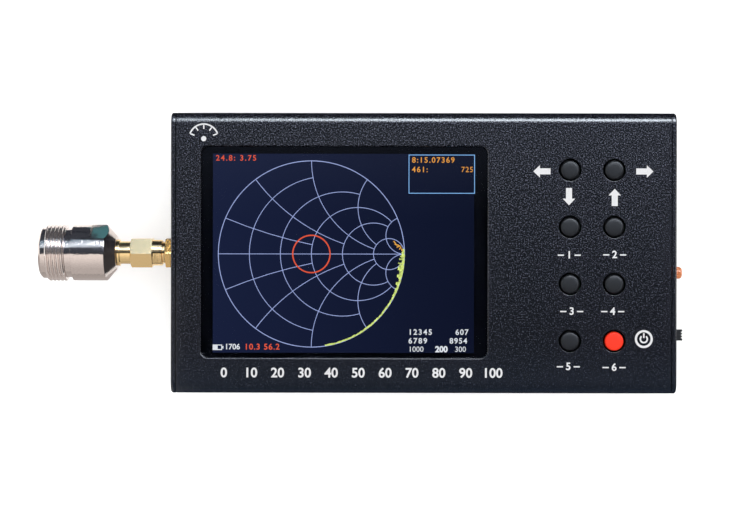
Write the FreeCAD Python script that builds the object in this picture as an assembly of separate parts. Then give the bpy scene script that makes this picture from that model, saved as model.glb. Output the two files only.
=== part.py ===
"""Handheld antenna analyzer in a folded sheet-metal case, with a screw-on coaxial adapter.

Millimetres. The instrument lies on its back: +Z points out of the screen, +X to its right-hand end
and +Y to the top edge of the front panel. The origin is the centre of the flat back face.
"""

import FreeCAD, Part
import math
import os

V = FreeCAD.Vector
X_AXIS, Y_AXIS, Z_AXIS = V(1, 0, 0), V(0, 1, 0), V(0, 0, 1)
TINY = 1e-6                # tolerance for picking edges by where they lie

# ---- Case -------------------------------------------------------------------------------------
CASE_WIDTH = 138.4
CASE_HEIGHT = 77.0
CASE_DEPTH = 27.0
SHEET = 1.2                # thickness of both folded covers
COVER_BEND = 3.0           # outside bend radius of the front cover's long edges
REAR_BEND = 1.6            # outside bend radius of the rear cover's folds
END_EDGE = 0.35            # softened outline of the end walls
SEAM = 0.1                 # gap between the front cover and the end walls
LIP_HEIGHT = 6.0           # rear cover's short lips, inside the front cover's long walls
LIP_GAP = 0.15
RELIEF = 0.3               # notch beside each fold, past its bend radius
CUT_EDGE = 0.25            # softened edge of the window
OVERSHOOT = 1.0            # how far a cutter reaches past the face it cuts

# ---- Screen, measured from the left and top of the case ----------------------------------------
WINDOW_WIDTH = 78.5
WINDOW_CORNER = 2.0
WINDOW_FROM_LEFT = 8.2
WINDOW_FROM_TOP = 9.3
WINDOW_FROM_BOTTOM = 9.8
GASKET = 0.4
GASKET_EDGE = 0.8          # gasket's set-back from the window
GASKET_BAND = 1.2
GLASS = 1.4
GLASS_LAP = 2.1            # glass behind the panel, past the window
GLASS_CORNER = 1.5
CELL_WIDTH = 76.0
CELL_LAP = 1.25            # cell behind the panel, above and below the window
CELL = 1.6
CELL_SHIFT_X = -0.2
CELL_SHIFT_Y = -0.3
TRAY_WALL = 0.6
TRAY_FLOOR = 0.6
BACKLIGHT = 1.2
TRAY_GAP = 0.1

# ---- Keys ---------------------------------------------------------------------------------------
KEY_COLUMNS = 2
KEY_ROWS = 4
COLUMN_PITCH = 12.1
ROW_PITCH = 15.6
LAST_COLUMN_FROM_RIGHT = 17.1
FIRST_ROW_FROM_TOP = 15.7
KEY_DIAMETER = 5.35
KEY_GAP = 0.45             # round the cap, in its hole
KEY_PROUD = 0.7            # crown of the cap above the panel
KEY_EDGE = 0.4             # broad bevel round the cap's face
KEY_LENGTH = 3.25
KEY_TRAVEL = 0.3
PLUNGER_SIDE = 2.8         # square plunger, in a square socket under the cap
PLUNGER_IN_CAP = 1.3
SWITCH_SIZE = 6.0
SWITCH_COLLAR = 4.6
SWITCH_COLLAR_HEIGHT = 0.3
SWITCH_CLEARANCE = 0.1     # left under the pressed cap and the pressed plunger
PLUNGER_IN_SWITCH = 2.0
SLIDE_FIT = 0.08           # clearance of plungers in their housings, each side
GLUE_FIT = 0.03            # clearance of parts fixed to each other, each side

# ---- Boards and what carries them ---------------------------------------------------------------
BOARD = 1.6
FRONT_BOARD_EDGE = 1.3     # board's edge to the inside of the covers
MAIN_BOARD_EDGE = 1.6
STANDOFF_INSET = 4.8       # from the case's outside, on X
STANDOFF_INSET_Y = 5.7
STANDOFF_FLATS = 4.2
PEG_FLATS = 2.4            # hexagonal pegs through the boards stop the standoffs from turning
PEG_FIT = 0.08
PEG_SHORT = 0.1            # peg's end below the board's far face
PEG_ROOT = 0.5             # peg's root inside its standoff
SCREW_DIAMETER = 2.5
SCREW_FIT = 0.08
HEAD_DIAMETER = 4.4
HEAD_FIT = 0.05
CROSS_LENGTH = 2.3
CROSS_WIDTH = 0.55
CROSS_DEPTH = 0.6
SCREW_LENGTH = 6.0

# ---- Parts on the boards ------------------------------------------------------------------------
RIBBON_WIDTH = 30.0
RIBBON = 0.3
RIBBON_END = 0.9           # straight stretch at either end of the ribbon
RIBBON_SOCKET_DEPTH = 3.0
RIBBON_SOCKET_MARGIN = 1.5 # socket past the ribbon, each side
RIBBON_SOCKET_HEIGHT = 2.0
SOCKET_TO_SWITCHES = 0.5
HEADER_PITCH = 2.54
HEADER_WIDTH = 5.0
HEADER_HEIGHT = 2.5
HEADER_FROM_RIGHT = 36.2
HEADER_FROM_BOTTOM = 11.0
HEADER_PINS = 10
PIN_SIDE = 0.64
PIN_REACH_UP = 1.25        # pins above the header's base
PIN_FIT = 0.05
SHIELD_LENGTH = 42.0
SHIELD_WIDTH = 34.0
SHIELD_HEIGHT = 3.6
SHIELD_SHEET = 0.3
SHIELD_FROM_JACK = 5.5
CHIP_SIDE = 12.0
CHIP_HEIGHT = 1.4
CHIP_GAP = 6.0             # shield can to the processor, and processor to the small circuits
SMALL_CHIP_SIDE = 5.0
SMALL_CHIP_HEIGHT = 0.9
SMALL_CHIP_PITCH = 8.5
BATTERY_LENGTH = 76.0
BATTERY_WIDTH = 50.0
BATTERY_THICK = 7.2
BATTERY_SHIFT = -6.0
BATTERY_EDGE = 1.6
PAD = 0.5
PAD_INSET = 4.0
LEAD_DIAMETER = 1.3
LEAD_PITCH = 2.0
LEAD_RUN = 14.0
LEAD_BELOW_TOP = 0.9       # leads' centre line below the cell's upper face
PLUG_LENGTH = 6.0
PLUG_WIDTH = 5.0
PLUG_HEIGHT = 3.6
PLUG_SOCKET_WALL = 1.2
PLUG_SOCKET_BACK = 4.0

# ---- Right-hand wall ----------------------------------------------------------------------------
WALL_FIT = 0.3             # round anything that passes through an end wall
LAMP_FROM_BOTTOM = 33.1
LAMP_DIAMETER = 3.4
LAMP_PROUD = 3.3
LAMP_EDGE = 0.8            # bevel round the lamp's nose
LAMP_LENGTH = 6.9
LAMP_HOLDER_DEPTH = 3.4
LAMP_HOLDER_WIDTH = 4.6
LAMP_HOLDER_HEIGHT = 4.4
SLIDER_FROM_BOTTOM = 15.7  # lever in its rest position
SLIDER_TRAVEL = 2.0
SLIDER_WIDTH = 3.1
SLIDER_THICK = 1.9
SLIDER_PROUD = 3.4
SLIDER_FOOT_DEPTH = 2.0
SLIDER_FOOT_LAP = 0.55     # foot past the finger, along the travel
SLIDER_FOOT_RISE = 0.2     # foot past the finger, above and below
SLIDER_GAP = 0.2
SLIDER_GROOVE = 0.35
SLIDER_GROOVES = 3
SLIDE_SWITCH_DEPTH = 4.2
SLIDE_SWITCH_WALL = 1.2
SLIDE_SWITCH_ROOF = 0.45
USB_FROM_TOP = 28.5
USB_DEPTH = 5.6
USB_WIDTH = 7.6
USB_HEIGHT = 2.7
USB_SHEET = 0.3
USB_TONGUE_LENGTH = 3.6
USB_TONGUE_INSET = 1.3     # tongue's edge to the inside of the shell
USB_TONGUE_THICK = 0.7
USB_CORNER = 0.7

# ---- Coaxial jack in the left-hand wall: lengths outwards from the wall, on the jack's axis ------
JACK_THREAD = 6.35
JACK_LENGTH = 8.4
JACK_FLANGE = 8.0
JACK_FLANGE_THICK = 1.6
JACK_MOUTH_FIT = 0.05      # round the adapter's sleeve
JACK_MOUTH_DEPTH = 1.9
JACK_CORE = 4.1            # insulator diameter
JACK_CONTACT = 1.27
JACK_CONTACT_DEPTH = 3.0
JACK_TAB = 0.9             # diameter of the contact's tail, on the board
JACK_TAB_LENGTH = 3.0
JACK_LEG_LENGTH = 4.2
JACK_LEG_WIDTH = 1.1
JACK_LEG_HEIGHT = 1.0
JACK_LEG_PITCH = 6.4
WASHER_DIAMETER = 8.8
WASHER = 0.6
WASHER_TEETH = 10
WASHER_TOOTH = 0.6         # depth of the notches between the teeth
NUT_FLATS = 8.0
PANEL_NUT = 2.2
SCREWED_FIT = 0.05         # radial gap between mating threads, at their crests

# ---- Adapter ------------------------------------------------------------------------------------
NUT_START = 3.8            # coupling nut's open end
SKIRT_WALL = 0.4
SKIRT_LENGTH = 2.7
NUT_FLOOR = 2.2            # inward shoulder at the nut's closed end, behind the stem's flange
NUT_CHAMFER = 30.0
NUT_CORNER = -4.5          # angle of both nuts' upper corner from +Z, towards +Y
TURN_FIT = 0.08            # clearance of the nut on the jack and the stem, each side
SLEEVE_DIAMETER = 4.56
SLEEVE_WALL = 0.22
SEAL = 0.7
SEAL_FIT = 0.05
STEM_FLANGE = 1.2
STEM_DIAMETER = 5.4
NECK_DIAMETER = 6.4
NECK_LENGTH = 3.0
COLLAR_DIAMETER = 7.4
COLLAR_LENGTH = 0.9
SPIGOT_DIAMETER = 6.6
SPIGOT_LENGTH = 3.0
CONE_START = 9.4           # diameter of the nickel body's small end
CONE_LENGTH = 2.8
BODY_DIAMETER = 15.7
BODY_LENGTH = 9.3
GROOVE_DIAMETER = 13.9
GROOVE_LENGTH = 1.9
BIG_THREAD = 15.88
BIG_THREAD_LENGTH = 5.3
LEAD_IN_DIAMETER = 14.4
LEAD_IN_LENGTH = 2.0
LEAD_IN_CHAMFER = 0.7
BODY_FLATS = 13.7
FLATS_LENGTH = 4.0
FLATS_TILT = 59.0          # turn of the wrench flats about the axis, from +Z
SOCKET_DIAMETER = 8.8
SOCKET_DEPTH = 9.0
CONTACT_DIAMETER = 3.04
CONTACT_BORE = 1.7
CONTACT_BORE_DEPTH = 4.5
CONTACT_SETBACK = 2.0
WAIST_DIAMETER = 1.4
PIN_DIAMETER = 0.92
PIN_REACH = 2.4
PIN_POINT = 0.4

# ---- Places worked out from the sizes above -----------------------------------------------------
LEFT, RIGHT = -CASE_WIDTH / 2, CASE_WIDTH / 2
BOTTOM, TOP = -CASE_HEIGHT / 2, CASE_HEIGHT / 2
PANEL_UNDER = CASE_DEPTH - SHEET
INNER_X = RIGHT - SHEET
INNER_Y = TOP - SHEET
WINDOW_HEIGHT = CASE_HEIGHT - WINDOW_FROM_TOP - WINDOW_FROM_BOTTOM
WINDOW_X = LEFT + WINDOW_FROM_LEFT + WINDOW_WIDTH / 2
WINDOW_Y = TOP - WINDOW_FROM_TOP - WINDOW_HEIGHT / 2
CELL_HEIGHT = WINDOW_HEIGHT + 2 * CELL_LAP
CELL_X = WINDOW_X + CELL_SHIFT_X
CELL_Y = WINDOW_Y + CELL_SHIFT_Y
CELL_RIGHT = CELL_X + CELL_WIDTH / 2
GASKET_UNDER = PANEL_UNDER - GASKET
GLASS_UNDER = GASKET_UNDER - GLASS
CELL_UNDER = GLASS_UNDER - CELL
TRAY_UNDER = CELL_UNDER - BACKLIGHT - TRAY_FLOOR
FRONT_BOARD_TOP = TRAY_UNDER
FRONT_BOARD_UNDER = FRONT_BOARD_TOP - BOARD
AXIS_Z = CASE_DEPTH / 2                                # axis of the jack and the adapter
MAIN_BOARD_TOP = AXIS_Z - JACK_TAB / 2
MAIN_BOARD_UNDER = MAIN_BOARD_TOP - BOARD
HEAD_HEIGHT = SHEET                                    # countersunk heads are as thick as the sheet
BATTERY_UNDER = SHEET + PAD
BATTERY_RIGHT = BATTERY_SHIFT + BATTERY_LENGTH / 2
LEAD_Z = BATTERY_UNDER + BATTERY_THICK - LEAD_BELOW_TOP
PLUG_X = BATTERY_RIGHT + LEAD_RUN                      # left end of the plug
CAP_TOP = CASE_DEPTH + KEY_PROUD
CAP_UNDER = CAP_TOP - KEY_LENGTH
SWITCH_TOP = CAP_UNDER - KEY_TRAVEL - SWITCH_CLEARANCE
HOUSING_TOP = SWITCH_TOP - SWITCH_COLLAR_HEIGHT
PLUNGER_TOP = CAP_UNDER + PLUNGER_IN_CAP
PLUNGER_UNDER = SWITCH_TOP - PLUNGER_IN_SWITCH
PLUNGER_FLOOR = PLUNGER_UNDER - KEY_TRAVEL - SWITCH_CLEARANCE
FIRST_COLUMN = RIGHT - LAST_COLUMN_FROM_RIGHT - COLUMN_PITCH * (KEY_COLUMNS - 1)
FIRST_ROW = TOP - FIRST_ROW_FROM_TOP
RIBBON_SOCKET_X = FIRST_COLUMN - SWITCH_SIZE / 2 - SOCKET_TO_SWITCHES - RIBBON_SOCKET_DEPTH
HEADER_X = RIGHT - HEADER_FROM_RIGHT
HEADER_Y = BOTTOM + HEADER_FROM_BOTTOM
HEADER_LENGTH = HEADER_PITCH * HEADER_PINS
HEADER_TOP = MAIN_BOARD_TOP + HEADER_HEIGHT
LAMP_Y = BOTTOM + LAMP_FROM_BOTTOM
LAMP_Z = MAIN_BOARD_TOP + LAMP_HOLDER_HEIGHT / 2
LAMP_FOOT = RIGHT + LAMP_PROUD - LAMP_LENGTH
SLIDER_Y = BOTTOM + SLIDER_FROM_BOTTOM
SLIDER_POCKET = SLIDER_THICK / 2 + SLIDER_FOOT_RISE + SLIDER_GAP   # half the pocket's height
SLIDER_Z = MAIN_BOARD_TOP + SLIDER_POCKET + SLIDE_SWITCH_ROOF
USB_Y = TOP - USB_FROM_TOP
USB_Z = MAIN_BOARD_TOP + USB_HEIGHT / 2
JACK_BACK = -SHEET - JACK_FLANGE_THICK                 # inner end of the jack
JACK_MOUTH = SLEEVE_DIAMETER + 2 * JACK_MOUTH_FIT
NUT_BORE = JACK_THREAD + 2 * TURN_FIT
SLEEVE_BORE = SLEEVE_DIAMETER - 2 * SLEEVE_WALL
REFERENCE = JACK_LENGTH - JACK_MOUTH_DEPTH             # plane where jack and adapter meet
NUT_HEX_START = NUT_START + SKIRT_LENGTH
SHOULDER = JACK_LENGTH + SEAL                          # adapter shoulder behind the seal
FLANGE_BACK = SHOULDER + STEM_FLANGE
NUT_END = FLANGE_BACK + TURN_FIT + NUT_FLOOR
NECK_START = NUT_END + TURN_FIT
COLLAR_START = NECK_START + NECK_LENGTH
BODY_START = COLLAR_START + COLLAR_LENGTH              # small end of the nickel body
BARREL_START = BODY_START + CONE_LENGTH
BARREL_END = BARREL_START + BODY_LENGTH
THREAD_START = BARREL_END + GROOVE_LENGTH
THREAD_END = THREAD_START + BIG_THREAD_LENGTH
ADAPTER_END = THREAD_END + LEAD_IN_LENGTH
SOCKET_FLOOR = ADAPTER_END - SOCKET_DEPTH
SPIGOT_END = BODY_START + SPIGOT_LENGTH

KEY_NAMES = [
    ["key_left", "key_right"],
    ["key_down", "key_up"],
    ["key_frequency", "key_amplitude"],
    ["key_marker", "key_menu"],
]


# ---- Helpers ------------------------------------------------------------------------------------
def block(low, high):
    """Box between two opposite corners."""
    size = high - low
    return Part.makeBox(size.x, size.y, size.z, low)


def block_on(size, centre_x, centre_y, under):
    """Box of the given size, centred in plan, standing on the height under."""
    low = V(centre_x - size.x / 2, centre_y - size.y / 2, under)
    return block(low, low + size)


def rod(diameter, start, end, x=0.0, y=0.0):
    """Upright cylinder between two heights."""
    return Part.makeCylinder(diameter / 2, end - start, V(x, y, start), Z_AXIS)


def rod_x(diameter, start, end, y=0.0, z=0.0):
    """Cylinder along X between two places."""
    return Part.makeCylinder(diameter / 2, end - start, V(start, y, z), X_AXIS)


def plate(width, height, corner, under, top, centre_x=0.0, centre_y=0.0):
    """Rectangular plate with round corners in plan."""
    low = V(centre_x - width / 2, centre_y - height / 2, under)
    solid = Part.makeBox(width, height, top - under, low)
    upright = [e for e in solid.Edges if abs(e.BoundBox.ZLength - (top - under)) < TINY]
    return solid.makeFillet(corner, upright)


def hexagon(flats, start, end, place, along, first=30.0):
    """Hexagonal bar from start to end along a direction; first is its first corner's angle."""
    turn = FreeCAD.Rotation(Z_AXIS, along)
    reach = flats / math.sqrt(3)
    corners = []
    for i in range(7):
        angle = math.radians(60 * i + first)
        corner = V(reach * math.cos(angle), reach * math.sin(angle), 0)
        corners.append(place + along * start + turn.multVec(corner))
    return Part.Face(Part.makePolygon(corners)).extrude(along * (end - start))


def turned(outline, place, along):
    """Solid of revolution about a line: outline is a list of (length along it, diameter) pairs."""
    across = FreeCAD.Rotation(Z_AXIS, along).multVec(X_AXIS)
    points = [place + along * length + across * (diameter / 2) for length, diameter in outline]
    points.append(points[0])
    return Part.Face(Part.makePolygon(points)).revolve(place, along, 360)


def on_jack_axis(outline):
    """Turned part on the jack's axis, with lengths counted outwards from the left-hand wall."""
    return turned(outline, V(LEFT, 0, AXIS_Z), -X_AXIS)


def fused(solids):
    """One solid from several that touch or overlap."""
    return solids[0].fuse(solids[1:]).removeSplitter()


def channel(width, height, bend, length, across, up):
    """Folded sheet: a base of the given outside width with two walls of the given height.

    The base lies at the origin, its walls rise along up, and it runs length long, centred, along
    the third direction.
    """
    def outline(half, floor, radius):
        low = radius * (1 - math.sqrt(0.5))
        points = [
            (-half, height), (-half, floor + radius), (-half + low, floor + low),
            (-half + radius, floor), (half - radius, floor), (half - low, floor + low),
            (half, floor + radius), (half, height),
        ]
        return [across * a + up * b for a, b in points]

    outer = outline(width / 2, 0.0, bend)
    inner = outline(width / 2 - SHEET, SHEET, bend - SHEET)
    edges = []
    for p in (outer, inner):
        edges.append(Part.makeLine(p[0], p[1]))
        edges.append(Part.Arc(p[1], p[2], p[3]).toShape())
        edges.append(Part.makeLine(p[3], p[4]))
        edges.append(Part.Arc(p[4], p[5], p[6]).toShape())
        edges.append(Part.makeLine(p[6], p[7]))
    edges.append(Part.makeLine(outer[0], inner[0]))
    edges.append(Part.makeLine(outer[7], inner[7]))
    wire = Part.Wire(Part.__sortEdges__(edges))
    run = across.cross(up) * length
    return Part.Face(wire).extrude(run).translated(run * -0.5)


def corner_places():
    """Plan positions of the four corner screws and standoffs."""
    x = RIGHT - STANDOFF_INSET
    y = TOP - STANDOFF_INSET_Y
    return [(-x, -y), (x, -y), (x, y), (-x, y)]


def key_places():
    """Name and plan position of each key, row by row from the top left."""
    places = []
    for row in range(KEY_ROWS):
        for column in range(KEY_COLUMNS):
            x = FIRST_COLUMN + COLUMN_PITCH * column
            places.append((KEY_NAMES[row][column], x, FIRST_ROW - ROW_PITCH * row))
    return places


def save(name, *solids):
    """Write one node, of one solid or a group of separate ones."""
    shape = solids[0] if len(solids) == 1 else Part.makeCompound(list(solids))
    shape.exportStep(os.path.join("parts", name + ".step"))


# ---- Case ---------------------------------------------------------------------------------------
def front_cover():
    """Front panel folded down over the top and bottom, with the window and the key holes."""
    length = CASE_WIDTH - 2 * (SHEET + SEAM)
    cover = channel(CASE_HEIGHT, CASE_DEPTH, COVER_BEND, length, Y_AXIS, -Z_AXIS)
    cover.translate(V(0, 0, CASE_DEPTH))
    low, high = PANEL_UNDER - OVERSHOOT, CASE_DEPTH + OVERSHOOT
    window = plate(WINDOW_WIDTH, WINDOW_HEIGHT, WINDOW_CORNER, low, high, WINDOW_X, WINDOW_Y)
    holes = [rod(KEY_DIAMETER + 2 * KEY_GAP, low, high, x, y) for _, x, y in key_places()]
    cover = cover.cut([window] + holes)
    outline = window.BoundBox
    rim = [edge for edge in cover.Edges
           if edge.BoundBox.ZMin > CASE_DEPTH - TINY and outline.isInside(edge.BoundBox)]
    return cover.makeChamfer(CUT_EDGE, rim)


def end_wall(side):
    """Upright end wall that covers the front cover's open end, with softened edges."""
    start = REAR_BEND + RELIEF
    wall = block(V(INNER_X, BOTTOM, start), V(RIGHT, TOP, CASE_DEPTH))
    upper = [e for e in wall.Edges
             if e.BoundBox.XLength > SHEET / 2 and e.BoundBox.ZMin > CASE_DEPTH - TINY]
    wall = wall.makeFillet(COVER_BEND, upper)
    rim = [e for e in wall.Edges
           if e.BoundBox.XMin > RIGHT - TINY and e.BoundBox.ZMax > start + TINY]
    wall = wall.makeChamfer(END_EDGE, rim)
    if side > 0:
        return wall
    return wall.mirror(V(0, 0, 0), X_AXIS)


def wall_openings():
    """Everything that is cut out of the two end walls."""
    outside, inside = RIGHT + OVERSHOOT, INNER_X - OVERSHOOT
    lamp = rod_x(LAMP_DIAMETER + 2 * WALL_FIT, inside, outside, LAMP_Y, LAMP_Z)
    half = SLIDER_THICK / 2 + WALL_FIT
    low = SLIDER_Y - SLIDER_WIDTH / 2 - WALL_FIT
    high = SLIDER_Y + SLIDER_WIDTH / 2 + SLIDER_TRAVEL + WALL_FIT
    slot = block(V(inside, low, SLIDER_Z - half), V(outside, high, SLIDER_Z + half))
    port = usb_outline(WALL_FIT, inside, outside)
    jack = rod_x(JACK_THREAD + 2 * SCREWED_FIT, -outside, -inside, 0, AXIS_Z)
    return [lamp, slot, port, jack]


def rear_cover():
    """Back panel with two full end walls and two short lips inside the front cover's walls."""
    lip_width = 2 * (INNER_Y - LIP_GAP)
    ends = channel(CASE_WIDTH, CASE_DEPTH - COVER_BEND, REAR_BEND,
                   lip_width - 2 * (REAR_BEND + RELIEF), X_AXIS, Z_AXIS)
    lips = channel(lip_width, LIP_HEIGHT, REAR_BEND,
                   CASE_WIDTH - 2 * (REAR_BEND + RELIEF), Y_AXIS, Z_AXIS)
    cover = fused([ends, lips, end_wall(1), end_wall(-1)])
    head, hole = HEAD_DIAMETER + 2 * HEAD_FIT, SCREW_DIAMETER + 2 * SCREW_FIT
    outline = [(-OVERSHOOT, 0), (-OVERSHOOT, head), (0, head), (HEAD_HEIGHT, hole),
               (HEAD_HEIGHT + OVERSHOOT, hole), (HEAD_HEIGHT + OVERSHOOT, 0)]
    countersinks = [turned(outline, V(x, y, 0), Z_AXIS) for x, y in corner_places()]
    return cover.cut(wall_openings() + countersinks)


def rear_screws():
    """Four countersunk screws with cross recesses, driven from the back."""
    outline = [(0, 0), (0, HEAD_DIAMETER), (HEAD_HEIGHT, SCREW_DIAMETER),
               (SCREW_LENGTH, SCREW_DIAMETER), (SCREW_LENGTH, 0)]
    depth = CROSS_DEPTH + OVERSHOOT
    screws = []
    for x, y in corner_places():
        screw = turned(outline, V(x, y, 0), Z_AXIS)
        cross = [block_on(V(CROSS_LENGTH, CROSS_WIDTH, depth), x, y, -OVERSHOOT),
                 block_on(V(CROSS_WIDTH, CROSS_LENGTH, depth), x, y, -OVERSHOOT)]
        screws.append(screw.cut(cross))
    return screws


def standoffs():
    """Three tiers: rear ones on the back panel, spacers between the boards, front ones to the panel."""
    tiers = {"rear_standoffs": [], "board_spacers": [], "front_standoffs": []}
    peg = BOARD - PEG_SHORT
    for x, y in corner_places():
        place = V(x, y, 0)
        rear = hexagon(STANDOFF_FLATS, SHEET, MAIN_BOARD_UNDER, place, Z_AXIS)
        rear_peg = hexagon(PEG_FLATS, MAIN_BOARD_UNDER - PEG_ROOT, MAIN_BOARD_UNDER + peg, place, Z_AXIS)
        bore = rod(SCREW_DIAMETER + 2 * SCREW_FIT, 0, SCREW_LENGTH + SCREW_FIT, x, y)
        tiers["rear_standoffs"].append(fused([rear, rear_peg]).cut(bore))
        spacer = hexagon(STANDOFF_FLATS, MAIN_BOARD_TOP, FRONT_BOARD_UNDER, place, Z_AXIS)
        spacer_peg = hexagon(PEG_FLATS, FRONT_BOARD_UNDER - PEG_ROOT, FRONT_BOARD_UNDER + peg,
                             place, Z_AXIS)
        tiers["board_spacers"].append(fused([spacer, spacer_peg]))
        tiers["front_standoffs"].append(
            hexagon(STANDOFF_FLATS, FRONT_BOARD_TOP, PANEL_UNDER, place, Z_AXIS))
    return tiers


# ---- Screen -------------------------------------------------------------------------------------
def display_gasket():
    """Foam frame between the front panel and the screen glass."""
    width = WINDOW_WIDTH + 2 * GASKET_EDGE
    height = WINDOW_HEIGHT + 2 * GASKET_EDGE
    outer = block_on(V(width + 2 * GASKET_BAND, height + 2 * GASKET_BAND, GASKET),
                     WINDOW_X, WINDOW_Y, GASKET_UNDER)
    hole = plate(width, height, WINDOW_CORNER, GASKET_UNDER - OVERSHOOT, PANEL_UNDER + OVERSHOOT,
                 WINDOW_X, WINDOW_Y)
    return outer.cut(hole)


def screen_glass():
    return plate(WINDOW_WIDTH + 2 * GLASS_LAP, WINDOW_HEIGHT + 2 * GLASS_LAP, GLASS_CORNER,
                 GLASS_UNDER, GASKET_UNDER, WINDOW_X, WINDOW_Y)


def lcd_cell():
    return block_on(V(CELL_WIDTH, CELL_HEIGHT, CELL), CELL_X, CELL_Y, CELL_UNDER)


def backlight_plate():
    return block_on(V(CELL_WIDTH, CELL_HEIGHT, BACKLIGHT), CELL_X, CELL_Y, CELL_UNDER - BACKLIGHT)


def lcd_tray():
    """Thin pressed tray that holds the LCD cell and its back light, with a slot for the ribbon."""
    inner = V(CELL_WIDTH + 2 * TRAY_GAP, CELL_HEIGHT + 2 * TRAY_GAP, GLASS_UNDER - TRAY_UNDER)
    outer = inner + V(2 * TRAY_WALL, 2 * TRAY_WALL, 0)
    tray = block_on(outer, CELL_X, CELL_Y, TRAY_UNDER)
    hollow = block_on(inner, CELL_X, CELL_Y, TRAY_UNDER + TRAY_FLOOR)
    slot = V(2 * TRAY_WALL + OVERSHOOT, RIBBON_WIDTH + 2 * WALL_FIT, CELL)
    return tray.cut([hollow, block_on(slot, CELL_X + outer.x / 2, CELL_Y, CELL_UNDER)])


def lcd_ribbon():
    """Flat ribbon that runs from the cell's right-hand edge down to its socket, in two bends."""
    top = CELL_UNDER + 2 * RIBBON
    drop = top - FRONT_BOARD_TOP - RIBBON_SOCKET_HEIGHT / 2 - RIBBON
    start, end = CELL_RIGHT + RIBBON_END, RIBBON_SOCKET_X - RIBBON_END
    run = end - start
    turn = 2 * math.atan(drop / run)
    radius = run / 2 / math.sin(turn)                  # of the ribbon's centre line
    near, far = radius - RIBBON / 2, radius + RIBBON / 2
    low_centre = V(start, 0, top - far)
    high_centre = V(end, 0, top - drop - RIBBON + far)

    def on_bend(centre, reach, share, side):
        angle = turn * share
        return centre + V(math.sin(angle), 0, math.cos(angle)) * (reach * side)

    def bend(centre, reach, side):
        points = [on_bend(centre, reach, share, side) for share in (0, 0.5, 1)]
        return Part.Arc(*points).toShape()

    left, right = V(CELL_RIGHT, 0, top), V(RIBBON_SOCKET_X, 0, top - drop)
    under = V(0, 0, -RIBBON)
    edges = [
        Part.makeLine(left, V(start, 0, top)), bend(low_centre, far, 1), bend(high_centre, near, -1),
        Part.makeLine(V(end, 0, right.z), right), Part.makeLine(right, right + under),
        Part.makeLine(right + under, V(end, 0, right.z) + under), bend(high_centre, far, -1),
        bend(low_centre, near, 1), Part.makeLine(V(start, 0, top) + under, left + under),
        Part.makeLine(left + under, left),
    ]
    strip = Part.Face(Part.Wire(Part.__sortEdges__(edges))).extrude(V(0, RIBBON_WIDTH, 0))
    return strip.translated(V(0, CELL_Y - RIBBON_WIDTH / 2, 0))


def ribbon_socket():
    size = V(RIBBON_SOCKET_DEPTH, RIBBON_WIDTH + 2 * RIBBON_SOCKET_MARGIN, RIBBON_SOCKET_HEIGHT)
    return block_on(size, RIBBON_SOCKET_X + RIBBON_SOCKET_DEPTH / 2, CELL_Y, FRONT_BOARD_TOP)


# ---- Keys ---------------------------------------------------------------------------------------
def key_cap(x, y):
    """Round cap with a bevelled face and a square socket underneath for its plunger."""
    cap = turned([(CAP_UNDER, 0), (CAP_UNDER, KEY_DIAMETER), (CAP_TOP - KEY_EDGE, KEY_DIAMETER),
                  (CAP_TOP, KEY_DIAMETER - 2 * KEY_EDGE), (CAP_TOP, 0)], V(x, y, 0), Z_AXIS)
    side = PLUNGER_SIDE + 2 * GLUE_FIT
    socket = V(side, side, PLUNGER_IN_CAP + OVERSHOOT)
    return cap.cut(block_on(socket, x, y, CAP_UNDER - OVERSHOOT))


def plunger(x, y):
    return block_on(V(PLUNGER_SIDE, PLUNGER_SIDE, PLUNGER_TOP - PLUNGER_UNDER), x, y, PLUNGER_UNDER)


def switch_housing(x, y):
    """Square push-switch housing with a raised collar and a well for the plunger."""
    body = block_on(V(SWITCH_SIZE, SWITCH_SIZE, HOUSING_TOP - FRONT_BOARD_TOP), x, y, FRONT_BOARD_TOP)
    collar = block_on(V(SWITCH_COLLAR, SWITCH_COLLAR, SWITCH_COLLAR_HEIGHT), x, y, HOUSING_TOP)
    side = PLUNGER_SIDE + 2 * SLIDE_FIT
    well = block_on(V(side, side, SWITCH_TOP + OVERSHOOT - PLUNGER_FLOOR), x, y, PLUNGER_FLOOR)
    return fused([body, collar]).cut(well)


# ---- Boards -------------------------------------------------------------------------------------
def peg_holes(under, top):
    flats = PEG_FLATS + 2 * PEG_FIT
    return [hexagon(flats, under - OVERSHOOT, top + OVERSHOOT, V(x, y, 0), Z_AXIS)
            for x, y in corner_places()]


def front_board():
    """Board that carries the screen and the key switches."""
    low = V(-INNER_X + FRONT_BOARD_EDGE, -INNER_Y + FRONT_BOARD_EDGE, FRONT_BOARD_UNDER)
    board = block(low, V(-low.x, -low.y, FRONT_BOARD_TOP))
    return board.cut(peg_holes(FRONT_BOARD_UNDER, FRONT_BOARD_TOP))


def main_board():
    """Radio board, against the back of the jack's flange."""
    low = V(LEFT - JACK_BACK, -INNER_Y + MAIN_BOARD_EDGE, MAIN_BOARD_UNDER)
    board = block(low, V(INNER_X - MAIN_BOARD_EDGE, -low.y, MAIN_BOARD_TOP))
    return board.cut(peg_holes(MAIN_BOARD_UNDER, MAIN_BOARD_TOP))


def header_pin_places():
    return [HEADER_X + HEADER_PITCH * (i - (HEADER_PINS - 1) / 2) for i in range(HEADER_PINS)]


def header_base():
    """Pin header on the main board."""
    base = block_on(V(HEADER_LENGTH, HEADER_WIDTH, HEADER_HEIGHT), HEADER_X, HEADER_Y, MAIN_BOARD_TOP)
    pin = V(PIN_SIDE, PIN_SIDE, PIN_REACH_UP)
    return fused([base] + [block_on(pin, x, HEADER_Y, HEADER_TOP) for x in header_pin_places()])


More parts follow.
